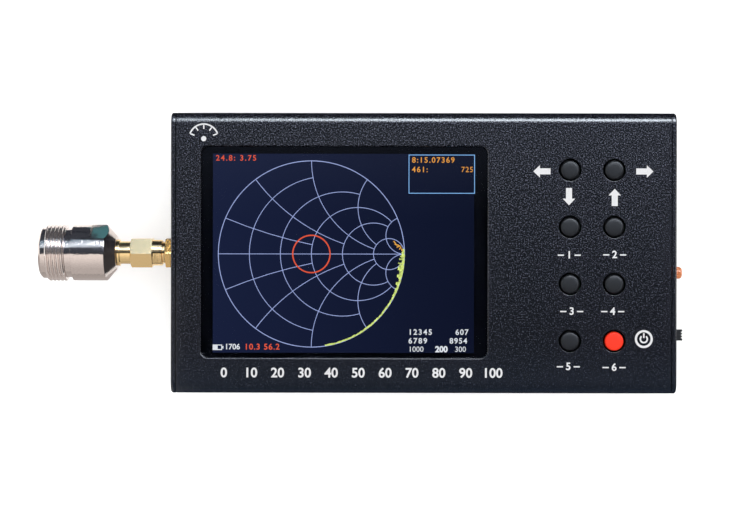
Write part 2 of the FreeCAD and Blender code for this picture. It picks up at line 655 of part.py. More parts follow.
def header_socket():
    """Matching socket under the front board, with a well for each pin."""
    size = V(HEADER_LENGTH, HEADER_WIDTH, FRONT_BOARD_UNDER - HEADER_TOP)
    well = V(PIN_SIDE + 2 * PIN_FIT, PIN_SIDE + 2 * PIN_FIT, OVERSHOOT + PIN_REACH_UP + PIN_FIT)
    wells = [block_on(well, x, HEADER_Y, HEADER_TOP - OVERSHOOT) for x in header_pin_places()]
    return block_on(size, HEADER_X, HEADER_Y, HEADER_TOP).cut(wells)


def shield_end():
    """Right-hand end of the shield can."""
    return LEFT - JACK_BACK + SHIELD_FROM_JACK + SHIELD_LENGTH


def shield_can():
    """Pressed lid over the radio circuit, open towards the board."""
    x = shield_end() - SHIELD_LENGTH / 2
    can = V(SHIELD_LENGTH, SHIELD_WIDTH, SHIELD_HEIGHT)
    hollow = can - V(2 * SHIELD_SHEET, 2 * SHIELD_SHEET, SHIELD_SHEET)
    return block_on(can, x, 0, MAIN_BOARD_TOP).cut(block_on(hollow, x, 0, MAIN_BOARD_TOP))


def chips():
    """Processor and three smaller circuits on the main board, right of the shield can."""
    x = shield_end() + CHIP_GAP + CHIP_SIDE / 2
    small_x = x + CHIP_SIDE / 2 + CHIP_GAP + SMALL_CHIP_SIDE / 2
    small = V(SMALL_CHIP_SIDE, SMALL_CHIP_SIDE, SMALL_CHIP_HEIGHT)
    solids = [block_on(V(CHIP_SIDE, CHIP_SIDE, CHIP_HEIGHT), x, 0, MAIN_BOARD_TOP)]
    for i in (-1, 0, 1):
        solids.append(block_on(small, small_x, i * SMALL_CHIP_PITCH, MAIN_BOARD_TOP))
    return solids


# ---- Battery ------------------------------------------------------------------------------------
def battery_pad():
    size = V(BATTERY_LENGTH - 2 * PAD_INSET, BATTERY_WIDTH - 2 * PAD_INSET, PAD)
    return block_on(size, BATTERY_SHIFT, 0, SHEET)


def battery_cell():
    """Flat pouch cell with rounded sides."""
    cell = block_on(V(BATTERY_LENGTH, BATTERY_WIDTH, BATTERY_THICK), BATTERY_SHIFT, 0, BATTERY_UNDER)
    sides = [e for e in cell.Edges if e.BoundBox.XLength > BATTERY_LENGTH / 2]
    return cell.makeFillet(BATTERY_EDGE, sides)


def battery_lead():
    """Two short wires from the end of the cell to the plug."""
    return [rod_x(LEAD_DIAMETER, BATTERY_RIGHT, PLUG_X, side * LEAD_PITCH / 2, LEAD_Z)
            for side in (-1, 1)]


def battery_plug():
    size = V(PLUG_LENGTH, PLUG_WIDTH, PLUG_HEIGHT)
    return block_on(size, PLUG_X + PLUG_LENGTH / 2, 0, LEAD_Z - PLUG_HEIGHT / 2)


def battery_socket():
    """Socket under the main board, open to the left, with half the plug inside."""
    start = PLUG_X + PLUG_LENGTH / 2
    end = PLUG_X + PLUG_LENGTH + PLUG_SOCKET_BACK
    half_width = PLUG_WIDTH / 2 + GLUE_FIT
    half_height = PLUG_HEIGHT / 2 + GLUE_FIT
    socket = block(V(start, -half_width - PLUG_SOCKET_WALL, LEAD_Z - half_height - PLUG_SOCKET_WALL),
                   V(end, half_width + PLUG_SOCKET_WALL, MAIN_BOARD_UNDER))
    room = block(V(start - OVERSHOOT, -half_width, LEAD_Z - half_height),
                 V(PLUG_X + PLUG_LENGTH + GLUE_FIT, half_width, LEAD_Z + half_height))
    return socket.cut(room)


# ---- Right-hand wall ----------------------------------------------------------------------------
def indicator_lamp():
    """Lamp with a bevelled nose that stands out of the wall."""
    nose = RIGHT + LAMP_PROUD
    return turned([(LAMP_FOOT, 0), (LAMP_FOOT, LAMP_DIAMETER), (nose - LAMP_EDGE, LAMP_DIAMETER),
                   (nose, LAMP_DIAMETER - 2 * LAMP_EDGE), (nose, 0)], V(0, LAMP_Y, LAMP_Z), X_AXIS)


def lamp_holder():
    """Holder on the main board, behind the lamp."""
    size = V(LAMP_HOLDER_DEPTH, LAMP_HOLDER_WIDTH, LAMP_HOLDER_HEIGHT)
    return block_on(size, LAMP_FOOT - LAMP_HOLDER_DEPTH / 2, LAMP_Y, MAIN_BOARD_TOP)


def slide_switch_housing():
    """Housing with a pocket, open towards the wall, in which the lever's foot slides."""
    y = SLIDER_Y + SLIDER_TRAVEL / 2
    face = INNER_X - SLIDER_GAP
    reach = SLIDER_WIDTH / 2 + SLIDER_FOOT_LAP + SLIDER_TRAVEL / 2 + SLIDER_GAP
    rise = SLIDER_POCKET + SLIDE_SWITCH_ROOF
    body = block(V(face - SLIDE_SWITCH_DEPTH, y - reach - SLIDE_SWITCH_WALL, SLIDER_Z - rise),
                 V(face, y + reach + SLIDE_SWITCH_WALL, SLIDER_Z + rise))
    depth = SLIDER_FOOT_DEPTH + 2 * SLIDER_GAP
    pocket = block(V(face - depth, y - reach, SLIDER_Z - SLIDER_POCKET),
                   V(face + OVERSHOOT, y + reach, SLIDER_Z + SLIDER_POCKET))
    return body.cut(pocket)


def slide_lever():
    """Switch lever: a foot in the housing and a grooved finger that stands out of the wall."""
    face = INNER_X - 2 * SLIDER_GAP
    tip = RIGHT + SLIDER_PROUD
    foot = V(SLIDER_FOOT_DEPTH, SLIDER_WIDTH + 2 * SLIDER_FOOT_LAP, SLIDER_THICK + 2 * SLIDER_FOOT_RISE)
    finger = V(tip - face, SLIDER_WIDTH, SLIDER_THICK)
    lever = fused([block_on(foot, face - foot.x / 2, SLIDER_Y, SLIDER_Z - foot.z / 2),
                   block_on(finger, face + finger.x / 2, SLIDER_Y, SLIDER_Z - finger.z / 2)])
    groove = V(2 * SLIDER_GROOVE, SLIDER_GROOVE, 2 * SLIDER_THICK)
    pitch = SLIDER_WIDTH / (SLIDER_GROOVES + 1)
    places = [SLIDER_Y + pitch * (i - (SLIDER_GROOVES - 1) / 2) for i in range(SLIDER_GROOVES)]
    return lever.cut([block_on(groove, tip, y, SLIDER_Z - SLIDER_THICK) for y in places])


def usb_outline(grow, start, end):
    """Rounded charging-port outline as a bar along X, grown all round."""
    width, height = USB_WIDTH / 2 + grow, USB_HEIGHT / 2 + grow
    bar = block(V(start, USB_Y - width, USB_Z - height), V(end, USB_Y + width, USB_Z + height))
    long_edges = [e for e in bar.Edges if e.BoundBox.XLength > (end - start) / 2]
    return bar.makeFillet(USB_CORNER + grow, long_edges)


def usb_shell():
    """Metal shell of the charging socket, flush with the end wall and open at its mouth."""
    start = RIGHT - USB_DEPTH
    inside = usb_outline(-USB_SHEET, start + USB_SHEET, RIGHT + OVERSHOOT)
    return usb_outline(0, start, RIGHT).cut(inside)


def usb_tongue():
    size = V(USB_TONGUE_LENGTH, USB_WIDTH - 2 * (USB_SHEET + USB_TONGUE_INSET), USB_TONGUE_THICK)
    x = RIGHT - USB_DEPTH + USB_SHEET + USB_TONGUE_LENGTH / 2
    return block_on(size, x, USB_Y, USB_Z - USB_TONGUE_THICK / 2)


# ---- Coaxial jack -------------------------------------------------------------------------------
def jack_body():
    """Threaded barrel through the wall, a square flange inside it and four legs on the board."""
    core = JACK_CORE + 2 * GLUE_FIT
    barrel = on_jack_axis([
        (JACK_BACK, core), (JACK_BACK, JACK_THREAD), (JACK_LENGTH, JACK_THREAD),
        (JACK_LENGTH, JACK_MOUTH), (REFERENCE, JACK_MOUTH), (REFERENCE, core)])
    back = LEFT - JACK_BACK
    flange = block_on(V(JACK_FLANGE_THICK, JACK_FLANGE, JACK_FLANGE),
                      back - JACK_FLANGE_THICK / 2, 0, AXIS_Z - JACK_FLANGE / 2)
    flange = flange.cut(rod_x((core + JACK_THREAD) / 2, LEFT, back + OVERSHOOT, 0, AXIS_Z))
    leg = V(JACK_LEG_LENGTH, JACK_LEG_WIDTH, JACK_LEG_HEIGHT)
    legs = []
    for y in (-JACK_LEG_PITCH / 2, JACK_LEG_PITCH / 2):
        for under in (MAIN_BOARD_TOP, MAIN_BOARD_UNDER - JACK_LEG_HEIGHT):
            legs.append(block_on(leg, back + JACK_LEG_LENGTH / 2, y, under))
    return fused([barrel, flange] + legs)


def jack_insulator():
    hole = JACK_CONTACT + 2 * GLUE_FIT
    return on_jack_axis([(JACK_BACK, hole), (JACK_BACK, JACK_CORE), (REFERENCE, JACK_CORE),
                         (REFERENCE, hole)])


def jack_contact():
    """Centre contact: bored at the front for the adapter's pin, with a tail on the board."""
    bore = PIN_DIAMETER + 2 * PIN_FIT
    return on_jack_axis([
        (JACK_BACK - JACK_TAB_LENGTH, 0), (JACK_BACK - JACK_TAB_LENGTH, JACK_TAB), (JACK_BACK, JACK_TAB),
        (JACK_BACK, JACK_CONTACT), (REFERENCE, JACK_CONTACT), (REFERENCE, bore),
        (REFERENCE - JACK_CONTACT_DEPTH, bore), (REFERENCE - JACK_CONTACT_DEPTH, 0)])


def lock_washer():
    """Lock washer against the wall, with V-shaped notches between its teeth."""
    hole = JACK_THREAD + 2 * SCREWED_FIT
    ring = on_jack_axis([(0, hole), (0, WASHER_DIAMETER), (WASHER, WASHER_DIAMETER), (WASHER, hole)])
    side = WASHER_TOOTH * math.sqrt(2)
    notches = []
    for i in range(WASHER_TEETH):
        notch = Part.makeBox(WASHER + 2 * OVERSHOOT, 2 * side, 2 * side, V(0, -side, -side))
        notch.rotate(V(0, 0, 0), X_AXIS, 45)
        notch.translate(V(LEFT - WASHER - OVERSHOOT, 0, WASHER_DIAMETER / 2 + WASHER_TOOTH))
        notch.rotate(V(0, 0, 0), X_AXIS, 360 * i / WASHER_TEETH)
        notches.append(notch.translated(V(0, 0, AXIS_Z)))
    return ring.cut(notches)


def panel_nut():
    """Nut that clamps the jack to the wall."""
    end = WASHER + PANEL_NUT
    bore = JACK_THREAD + 2 * SCREWED_FIT
    hole = rod_x(bore, LEFT - end - OVERSHOOT, LEFT - WASHER + OVERSHOOT, 0, AXIS_Z)
    return hexagon(NUT_FLATS, WASHER, end, V(LEFT, 0, AXIS_Z), -X_AXIS, NUT_CORNER).cut(hole)


# ---- Adapter ------------------------------------------------------------------------------------
def coupling_nut():
    """Hexagonal nut with a round skirt at its open end and an inward shoulder at the other."""
    bar = hexagon(NUT_FLATS, NUT_HEX_START, NUT_END, V(LEFT, 0, AXIS_Z), -X_AXIS, NUT_CORNER)
    corners = NUT_FLATS * 2 / math.sqrt(3) + OVERSHOOT
    drop = (corners - NUT_FLATS) / 2 * math.tan(math.radians(NUT_CHAMFER))
    bar = bar.common(on_jack_axis([(NUT_HEX_START, 0), (NUT_HEX_START, corners), (NUT_END - drop, corners),
                                   (NUT_END, NUT_FLATS), (NUT_END, 0)]))
    outside = NUT_BORE + 2 * SKIRT_WALL
    floor = NUT_END - NUT_FLOOR
    skirt = on_jack_axis([(NUT_START, 0), (NUT_START, outside), (floor, outside), (floor, 0)])
    rear = STEM_DIAMETER + 2 * TURN_FIT
    bore = on_jack_axis([
        (NUT_START - OVERSHOOT, 0), (NUT_START - OVERSHOOT, NUT_BORE), (floor, NUT_BORE), (floor, rear),
        (NUT_END + OVERSHOOT, rear), (NUT_END + OVERSHOOT, 0)])
    return fused([bar, skirt]).cut(bore)


def sealing_ring():
    """Soft ring between the jack's mouth and the stem's shoulder."""
    inner = SLEEVE_DIAMETER + 2 * SEAL_FIT
    outer = JACK_THREAD - 2 * SEAL_FIT
    return on_jack_axis([(JACK_LENGTH, inner), (JACK_LENGTH, outer), (SHOULDER, outer), (SHOULDER, inner)])


def adapter_stem():
    """Gold stem that the coupling nut turns on: sleeve, shoulder flange and barrel."""
    flange = JACK_THREAD - 2 * SEAL_FIT
    return on_jack_axis([
        (REFERENCE, SLEEVE_BORE), (REFERENCE, SLEEVE_DIAMETER), (SHOULDER, SLEEVE_DIAMETER),
        (SHOULDER, flange), (FLANGE_BACK, flange), (FLANGE_BACK, STEM_DIAMETER),
        (SPIGOT_END, STEM_DIAMETER), (SPIGOT_END, SLEEVE_BORE)])


def adapter_neck():
    """Gold neck pressed on the stem behind the nut, with a collar and a spigot into the body."""
    seat = STEM_DIAMETER + 2 * GLUE_FIT
    return on_jack_axis([
        (NECK_START, seat), (NECK_START, NECK_DIAMETER), (COLLAR_START, NECK_DIAMETER),
        (COLLAR_START, COLLAR_DIAMETER), (BODY_START, COLLAR_DIAMETER), (BODY_START, SPIGOT_DIAMETER),
        (SPIGOT_END, SPIGOT_DIAMETER), (SPIGOT_END, seat)])


def stem_insulator():
    outer = SLEEVE_BORE - 2 * GLUE_FIT
    hole = WAIST_DIAMETER + 2 * GLUE_FIT
    return on_jack_axis([(REFERENCE, hole), (REFERENCE, outer), (SPIGOT_END, outer), (SPIGOT_END, hole)])


def adapter_body():
    """Nickel body: cone, barrel with two wrench flats, groove, outside thread and open socket."""
    face = ADAPTER_END
    bore = SPIGOT_DIAMETER + 2 * GLUE_FIT
    body = on_jack_axis([
        (BODY_START, bore), (BODY_START, CONE_START), (BARREL_START, BODY_DIAMETER),
        (BARREL_END, BODY_DIAMETER), (BARREL_END, GROOVE_DIAMETER), (THREAD_START, GROOVE_DIAMETER),
        (THREAD_START, BIG_THREAD), (THREAD_END, BIG_THREAD), (THREAD_END, LEAD_IN_DIAMETER),
        (face - LEAD_IN_CHAMFER, LEAD_IN_DIAMETER), (face, LEAD_IN_DIAMETER - 2 * LEAD_IN_CHAMFER),
        (face, SOCKET_DIAMETER), (SOCKET_FLOOR, SOCKET_DIAMETER), (SOCKET_FLOOR, bore)])
    return body.cut(wrench_flats())


def wrench_flats():
    """Two blocks that mill opposite flats on the barrel, next to the cone."""
    blocks = []
    for side in (0, 180):
        cutter = block(V(-BARREL_START - FLATS_LENGTH, -BODY_DIAMETER, BODY_FLATS / 2),
                       V(-BODY_START, BODY_DIAMETER, BODY_DIAMETER))
        cutter.rotate(V(0, 0, 0), X_AXIS, side - FLATS_TILT)
        blocks.append(cutter.translated(V(LEFT, 0, AXIS_Z)))
    return blocks


def socket_insulator():
    """Bead behind the neck's spigot that carries the centre contact in the body."""
    hole = WAIST_DIAMETER + 2 * GLUE_FIT
    return on_jack_axis([(SPIGOT_END, hole), (SPIGOT_END, SPIGOT_DIAMETER),
                         (SOCKET_FLOOR, SPIGOT_DIAMETER), (SOCKET_FLOOR, hole)])


def adapter_contact():
    """One-piece centre contact: pointed pin for the jack, thick bored end in the big socket."""
    tip = REFERENCE - PIN_REACH
    front = ADAPTER_END - CONTACT_SETBACK
    return on_jack_axis([
        (tip, 0), (tip, PIN_DIAMETER / 3), (tip + PIN_POINT, PIN_DIAMETER), (REFERENCE, PIN_DIAMETER),
        (REFERENCE, WAIST_DIAMETER), (SOCKET_FLOOR, WAIST_DIAMETER), (SOCKET_FLOOR, CONTACT_DIAMETER),
        (front, CONTACT_DIAMETER), (front, CONTACT_BORE), (front - CONTACT_BORE_DEPTH, CONTACT_BORE),
        (front - CONTACT_BORE_DEPTH, 0)])


def main():
    os.makedirs("parts", exist_ok=True)
    save("front_cover", front_cover())
    save("rear_cover", rear_cover())
    save("rear_screws", *rear_screws())
    for name, solids in standoffs().items():
        save(name, *solids)
    save("display_gasket", display_gasket())
    save("screen_glass", screen_glass())
    save("lcd_cell", lcd_cell())
    save("backlight_plate", backlight_plate())
    save("lcd_tray", lcd_tray())
    save("lcd_ribbon", lcd_ribbon())
    save("ribbon_socket", ribbon_socket())
    for name, x, y in key_places():
        save(name, key_cap(x, y))
        save(name.replace("key", "plunger"), plunger(x, y))
    save("key_switches", *[switch_housing(x, y) for _, x, y in key_places()])
    save("front_board", front_board())
    save("main_board", main_board())
    save("header_base", header_base())
    save("header_socket", header_socket())
    save("shield_can", shield_can())
    save("chips", *chips())
    save("battery_pad", battery_pad())
    save("battery_cell", battery_cell())
    save("battery_lead", *battery_lead())
    save("battery_plug", battery_plug())
    save("battery_socket", battery_socket())
    save("indicator_lamp", indicator_lamp())
    save("lamp_holder", lamp_holder())
    save("slide_switch_housing", slide_switch_housing())
    save("slide_lever", slide_lever())
    save("usb_shell", usb_shell())
    save("usb_tongue", usb_tongue())
    save("jack_body", jack_body())
    save("jack_insulator", jack_insulator())
    save("jack_contact", jack_contact())
    save("lock_washer", lock_washer())
    save("panel_nut", panel_nut())
    save("coupling_nut", coupling_nut())
    save("sealing_ring", sealing_ring())
    save("adapter_stem", adapter_stem())
    save("adapter_neck", adapter_neck())
    save("stem_insulator", stem_insulator())
    save("adapter_body", adapter_body())
    save("socket_insulator", socket_insulator())
    save("adapter_contact", adapter_contact())


main()
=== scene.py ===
"""Handheld antenna analyzer: the visible finish of its pieces, laid out as a Blender add-on.

Metres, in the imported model's frame: +Z out of the screen, +X to the right-hand end, +Y to the top
edge of the front panel. Lengths on the adapter are counted outwards from the left-hand wall.
"""

import cmath
import math
import random

import bmesh
import bpy
from mathutils import Matrix, Vector


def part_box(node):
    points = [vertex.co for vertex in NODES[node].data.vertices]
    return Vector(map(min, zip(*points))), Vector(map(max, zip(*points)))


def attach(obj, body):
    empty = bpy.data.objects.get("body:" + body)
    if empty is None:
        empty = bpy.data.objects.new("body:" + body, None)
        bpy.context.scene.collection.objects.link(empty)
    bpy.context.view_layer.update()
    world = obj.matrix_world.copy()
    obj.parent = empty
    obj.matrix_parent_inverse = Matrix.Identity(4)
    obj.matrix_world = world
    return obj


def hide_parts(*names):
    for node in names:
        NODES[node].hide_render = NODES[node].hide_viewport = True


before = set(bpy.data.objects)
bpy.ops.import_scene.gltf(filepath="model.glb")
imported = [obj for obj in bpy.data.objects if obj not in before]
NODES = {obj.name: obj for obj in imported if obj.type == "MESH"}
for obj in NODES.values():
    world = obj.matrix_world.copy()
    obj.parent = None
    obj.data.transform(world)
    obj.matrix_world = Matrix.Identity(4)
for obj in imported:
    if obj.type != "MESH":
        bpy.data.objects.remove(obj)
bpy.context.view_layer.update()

bl_info = {
    "name": "Antenna Analyzer",
    "version": (1, 0, 0),
    "blender": (4, 5, 0),
    "location": "3D View > Sidebar > Analyzer",
    "description": "Handheld antenna analyzer with a screw-on coaxial adapter",
    "category": "Add Mesh",
}

MM = 0.001

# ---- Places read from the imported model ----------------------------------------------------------
CASE_LOW, CASE_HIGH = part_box("rear_cover")
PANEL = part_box("front_cover")[1].z
WALL = CASE_LOW.x                                     # outside of the left-hand wall
AXIS = (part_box("jack_insulator")[0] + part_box("jack_insulator")[1]) / 2
GLASS_LOW, GLASS_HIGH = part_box("screen_glass")
CELL_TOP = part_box("lcd_cell")[1].z
KEY_NAMES = ["left", "right", "down", "up", "frequency", "amplitude", "marker", "menu"]
FULL_TURN = 2 * math.pi
# Vertices nearer than these, in metres, are one: in rough, fine and very fine forms
WELD, FINE_WELD, FINEST_WELD = 1e-6, 1e-7, 1e-8


def reach(node):
    """How far a piece of the adapter stands out of the wall: its near and far end."""
    low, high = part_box(node)
    return WALL - high.x, WALL - low.x


# ---- Sizes and colours a user may change --------------------------------------------------------
def length(name, description, default):
    return bpy.props.FloatProperty(name=name, description=description, default=default, min=0.0,
                                   subtype="DISTANCE", unit="LENGTH", precision=5)


def colour(name, description, default):
    return bpy.props.FloatVectorProperty(name=name, description=description, default=default,
                                         min=0.0, max=1.0, size=3, subtype="COLOR")


class AnalyzerSizes(bpy.types.PropertyGroup):
    """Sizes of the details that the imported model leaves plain."""
    cover_edge: length("Cover edge", "Rounding of the painted covers' edges", 0.12 * MM)
    key_edge: length("Key edge", "Rounding of the key caps' rims", 0.45 * MM)
    key_dome: length("Key dome", "Rise of the key caps' faces", 0.14 * MM)
    print_depth: length("Print thickness", "Thickness of the printed marks", 0.03 * MM)
    big_pitch: length("Adapter thread", "Pitch of the adapter's outside thread", 25.4 / 24 * MM)
    small_pitch: length("Jack thread", "Pitch of the jack's thread", 25.4 / 36 * MM)
    chart_radius: length("Chart radius", "Radius of the chart on the screen", 25.6 * MM)
    chart_line: length("Chart line", "Width of the chart's lines", 0.18 * MM)


class AnalyzerColours(bpy.types.PropertyGroup):
    """Colours of the visible finishes."""
    paint: colour("Paint", "Powder coat of the case", (0.0034, 0.0041, 0.0078))
    # Flecks: partly the powder coat's own pale grain, partly painted glints of the light
    fleck_and_glint: colour("Flecks", "Pale flecks in the powder coat", (0.108, 0.115, 0.158))
    # Painted reflection of a bluish light along the panel's lower edge
    lower_edge_reflection: colour("Lower edge reflection", "Paint near the panel's lower edge", (0.0056, 0.0092, 0.0168))
    ink: colour("Print", "Printed marks on the panel", (0.54, 0.54, 0.55))
    black_key: colour("Black keys", "Plastic of the black keys", (0.010, 0.0112, 0.014))
    red_key: colour("Red key", "Plastic of the red key", (0.72, 0.026, 0.007))
    gold: colour("Gold", "Plating of the jack, the nuts and the stem", (0.94, 0.69, 0.34))
    dull_gold: colour("Dull gold", "Plating of the nut on the wall", (0.99, 0.67, 0.275))
    # Painted shade: brown on the upper side of the nut on the wall
    gold_upper_shade: colour("Gold stain", "Brown stain on that nut's upper side", (0.36, 0.20, 0.06))
    nickel: colour("Nickel", "Plating of the adapter's body", (0.71, 0.63, 0.59))
    lamp: colour("Lamp", "Plastic of the indicator lamp", (0.80, 0.25, 0.11))
    screen: colour("Screen", "Background of the lit screen", (0.0097, 0.0147, 0.046))
    grid: colour("Grid", "Lines of the chart", (0.38, 0.46, 0.82))
    trace: colour("Trace", "Measured trace", (0.72, 0.86, 0.22))


# ---- Meshes -------------------------------------------------------------------------------------
def piece(name, mesh, material, body, replaced=(), crease=30.0):
    """Object made of a finished bmesh: shaded, placed in the scene and tied to its body."""
    bmesh.ops.recalc_face_normals(mesh, faces=mesh.faces)
    data = bpy.data.meshes.new(name)
    mesh.to_mesh(data)
    mesh.free()
    data.materials.append(material)
    data.shade_smooth()
    data.set_sharp_from_angle(angle=math.radians(crease))
    made = bpy.data.objects.new(name, data)
    bpy.context.scene.collection.objects.link(made)
    weighted = made.modifiers.new("weighted_normals", "WEIGHTED_NORMAL")
    weighted.mode, weighted.keep_sharp = "FACE_AREA", True
    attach(made, body)
    if replaced:
        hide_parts(*replaced)
    return made


def merged(node):
    """Copy of a CAD node's mesh with its loose triangles joined."""
    copy = bmesh.new()
    copy.from_mesh(NODES[node].data)
    bmesh.ops.remove_doubles(copy, verts=copy.verts, dist=WELD)
    bmesh.ops.dissolve_limit(copy, angle_limit=math.radians(0.5), use_dissolve_boundaries=False,
                             verts=copy.verts, edges=copy.edges)
    return copy


def softened(node, width, segments=2, crease=32.0):
    """Copy of a CAD node with its sharp edges rounded."""
    copy = merged(node)
    sharp = [e for e in copy.edges
             if len(e.link_faces) == 2 and e.calc_face_angle(0.0) > math.radians(crease)]
    bmesh.ops.bevel(copy, geom=sharp, offset=width, offset_type="OFFSET", segments=segments,
                    profile=0.5, affect="EDGES", clamp_overlap=True, material=-1)
    return copy


def dressed(name, node, edge, material, body, segments=2):
    """Piece that stands for a CAD node: its copy with rounded edges and the visible finish."""
    return piece(name, softened(node, edge, segments), material, body, [node])


def joined(*meshes):
    """One bmesh from several."""
    together = bmesh.new()
    for part in meshes:
        data = bpy.data.meshes.new("part")
        part.to_mesh(data)
        part.free()
        together.from_mesh(data)
        bpy.data.meshes.remove(data)
    return together


def spoke(vert):
    """From the jack's axis straight out to a vertex."""
    return Vector((0, vert.co.y - AXIS.y, vert.co.z - AXIS.z))


def set_radius(vert, radius):
    """Moves a vertex to the given distance from the jack's axis."""
    vert.co = Vector((vert.co.x, AXIS.y, AXIS.z)) + spoke(vert).normalized() * radius


def whole(mesh):
    return mesh.verts[:] + mesh.edges[:] + mesh.faces[:]


def of_kind(grown, kind):
    """The vertices, edges or faces among what an operator made."""
    return [g for g in grown["geom"] if isinstance(g, kind)]


def lathe(outline, origin, axis, across, soft=0.0, steps=96):
    """Closed outline of (length, diameter) pairs turned about a line, its corners rounded."""
    turned = bmesh.new()
    verts = [turned.verts.new(origin + axis * s + across * (d / 2)) for s, d in outline]
    edges = [turned.edges.new(pair) for pair in zip(verts, verts[1:] + verts[:1])]
    if soft:
        corners = [v for v, (s, d) in zip(verts, outline) if d > 0]
        bmesh.ops.bevel(turned, geom=corners + edges, offset=soft, offset_type="OFFSET", segments=3,
                        profile=0.5, affect="VERTICES", clamp_overlap=True, material=-1)
    bmesh.ops.spin(turned, geom=turned.verts[:] + turned.edges[:], cent=origin, axis=axis,
                   angle=FULL_TURN, steps=steps, use_merge=True)
    bmesh.ops.remove_doubles(turned, verts=turned.verts, dist=FINE_WELD)
    return turned


def on_axis(outline):
    """Turned piece on the jack's axis, lengths counted outwards from the wall."""
    return lathe(outline, Vector((WALL, AXIS.y, AXIS.z)), Vector((-1, 0, 0)), Vector((0, 0, 1)))


def thread(start, end, outside, depth, pitch, inside, steps=72):
    """Closed ring with a helical V thread outside and a plain bore."""
    ring = bmesh.new()
    root, crest = outside / 2 - depth, outside / 2
    turns = math.ceil((end - start) / pitch) + 2
    shape = [(0.0, root), (0.14, root), (0.42, crest), (0.70, crest), (1.0, root)]
    verts = [ring.verts.new((WALL - start + (1 - share) * pitch, AXIS.y, AXIS.z + radius))
             for share, radius in shape]
    edges = [ring.edges.new(pair) for pair in zip(verts, verts[1:])]
    bmesh.ops.spin(ring, geom=verts + edges, cent=(WALL, AXIS.y, AXIS.z), axis=(-1, 0, 0),
                   dvec=(-pitch / steps, 0, 0), angle=FULL_TURN * turns, steps=steps * turns)
    bmesh.ops.remove_doubles(ring, verts=ring.verts, dist=WELD)
    for place, side in ((start, 1), (end, -1)):
        bmesh.ops.bisect_plane(ring, geom=whole(ring), plane_co=(WALL - place, 0, 0),
                               plane_no=(side, 0, 0), clear_outer=True, dist=FINE_WELD)
    for place in (start, end):
        rim = [e for e in ring.edges if e.is_boundary
               and all(abs(WALL - place - v.co.x) < WELD for v in e.verts)]
        for vert in of_kind(bmesh.ops.extrude_edge_only(ring, edges=rim), bmesh.types.BMVert):
            set_radius(vert, inside / 2)
    bmesh.ops.remove_doubles(ring, verts=ring.verts, dist=FINE_WELD)
    bmesh.ops.bridge_loops(ring, edges=[e for e in ring.edges if e.is_boundary])
    return ring


def slab(flat, under, depth):
    """Flat faces lying at a height, made into a plate of the given thickness."""
    for vert in flat.verts:
        vert.co.z = under
    if depth:
        grown = bmesh.ops.extrude_face_region(flat, geom=flat.faces[:], use_keep_orig=True)
        for vert in of_kind(grown, bmesh.types.BMVert):
            vert.co.z = under + depth
    return flat


def placed(flat, x, y, turn):
    """Flat shape turned in plan by an angle in degrees, then moved."""
    place = Matrix.Translation((x, y, 0)) @ Matrix.Rotation(math.radians(turn), 4, "Z")
    bmesh.ops.transform(flat, matrix=place, verts=flat.verts)
    return flat


def polygon(points):
    flat = bmesh.new()
    flat.faces.new([flat.verts.new((x, y, 0)) for x, y in points])
    return flat


def rectangle(x, y, width, height, corner=0.0):
    """Flat rectangle about a centre, with its corners rounded."""
    flat = bmesh.new()
    place = Matrix.Translation((x, y, 0)) @ Matrix.Diagonal((width, height, 1, 1))
    bmesh.ops.create_grid(flat, x_segments=1, y_segments=1, size=0.5, matrix=place)
    if corner:
        bmesh.ops.bevel(flat, geom=flat.verts[:], offset=corner, offset_type="OFFSET", segments=6,
                        profile=0.5, affect="VERTICES", clamp_overlap=True, material=-1)
    return flat


def band(x, y, width, height, inner_x, inner_y, inner_width, inner_height):
    """Flat band between a rectangle and an opening that needn't share its centre."""
    flat = bmesh.new()
    for cx, cy, dx, dy in ((x, y, width / 2, height / 2),
                           (inner_x, inner_y, inner_width / 2, inner_height / 2)):
        loop = [flat.verts.new((cx + i * dx, cy + j * dy, 0))
                for i, j in ((-1, -1), (1, -1), (1, 1), (-1, 1))]
        for pair in zip(loop, loop[1:] + loop[:1]):
            flat.edges.new(pair)
    bmesh.ops.bridge_loops(flat, edges=flat.edges[:])
    return flat


def frame_outline(x, y, width, height, line):
    """Outline of a rectangle, as a flat band of the given width."""
    return band(x, y, width, height, x, y, width - 2 * line, height - 2 * line)


def arc(x, y, radius, start, sweep, line, step=math.radians(3)):
    """Flat arc of the given line width, swept from an angle."""
    flat = bmesh.new()
    ends = [flat.verts.new((x + r * math.cos(start), y + r * math.sin(start), 0))
            for r in (radius - line / 2, radius + line / 2)]
    edge = flat.edges.new(ends)
    bmesh.ops.spin(flat, geom=ends + [edge], cent=(x, y, 0), axis=(0, 0, 1), angle=sweep,
                   steps=max(2, math.ceil(abs(sweep) / step)))
    bmesh.ops.remove_doubles(flat, verts=flat.verts, dist=FINEST_WELD)
    return flat


def disc(x, y, radius):
    flat = bmesh.new()
    bmesh.ops.create_circle(flat, cap_ends=True, segments=48, radius=radius,
                            matrix=Matrix.Translation((x, y, 0)))
    return flat


FIGURE_SHARE = 0.71            # height of a figure over the size of its letters


def digits(text, height, x, y, across="CENTER", bold=0.03, spacing=1.0):
    """Flat figures of the given height, centred on a height or started from the left."""
    curve = bpy.data.curves.new("digits", "FONT")
    curve.body = text
    curve.align_x, curve.align_y = across, "CENTER"
    curve.size = height / FIGURE_SHARE
    curve.offset = bold * height
    curve.space_character = spacing
    curve.resolution_u = 4
    holder = bpy.data.objects.new("digits", curve)
    bpy.context.scene.collection.objects.link(holder)
    bpy.context.view_layer.update()
    data = bpy.data.meshes.new_from_object(holder)
    bpy.data.objects.remove(holder)
    bpy.data.curves.remove(curve)
    flat = bmesh.new()
    flat.from_mesh(data)
    bpy.data.meshes.remove(data)
    bmesh.ops.translate(flat, vec=(x, y, 0), verts=flat.verts)
    return flat


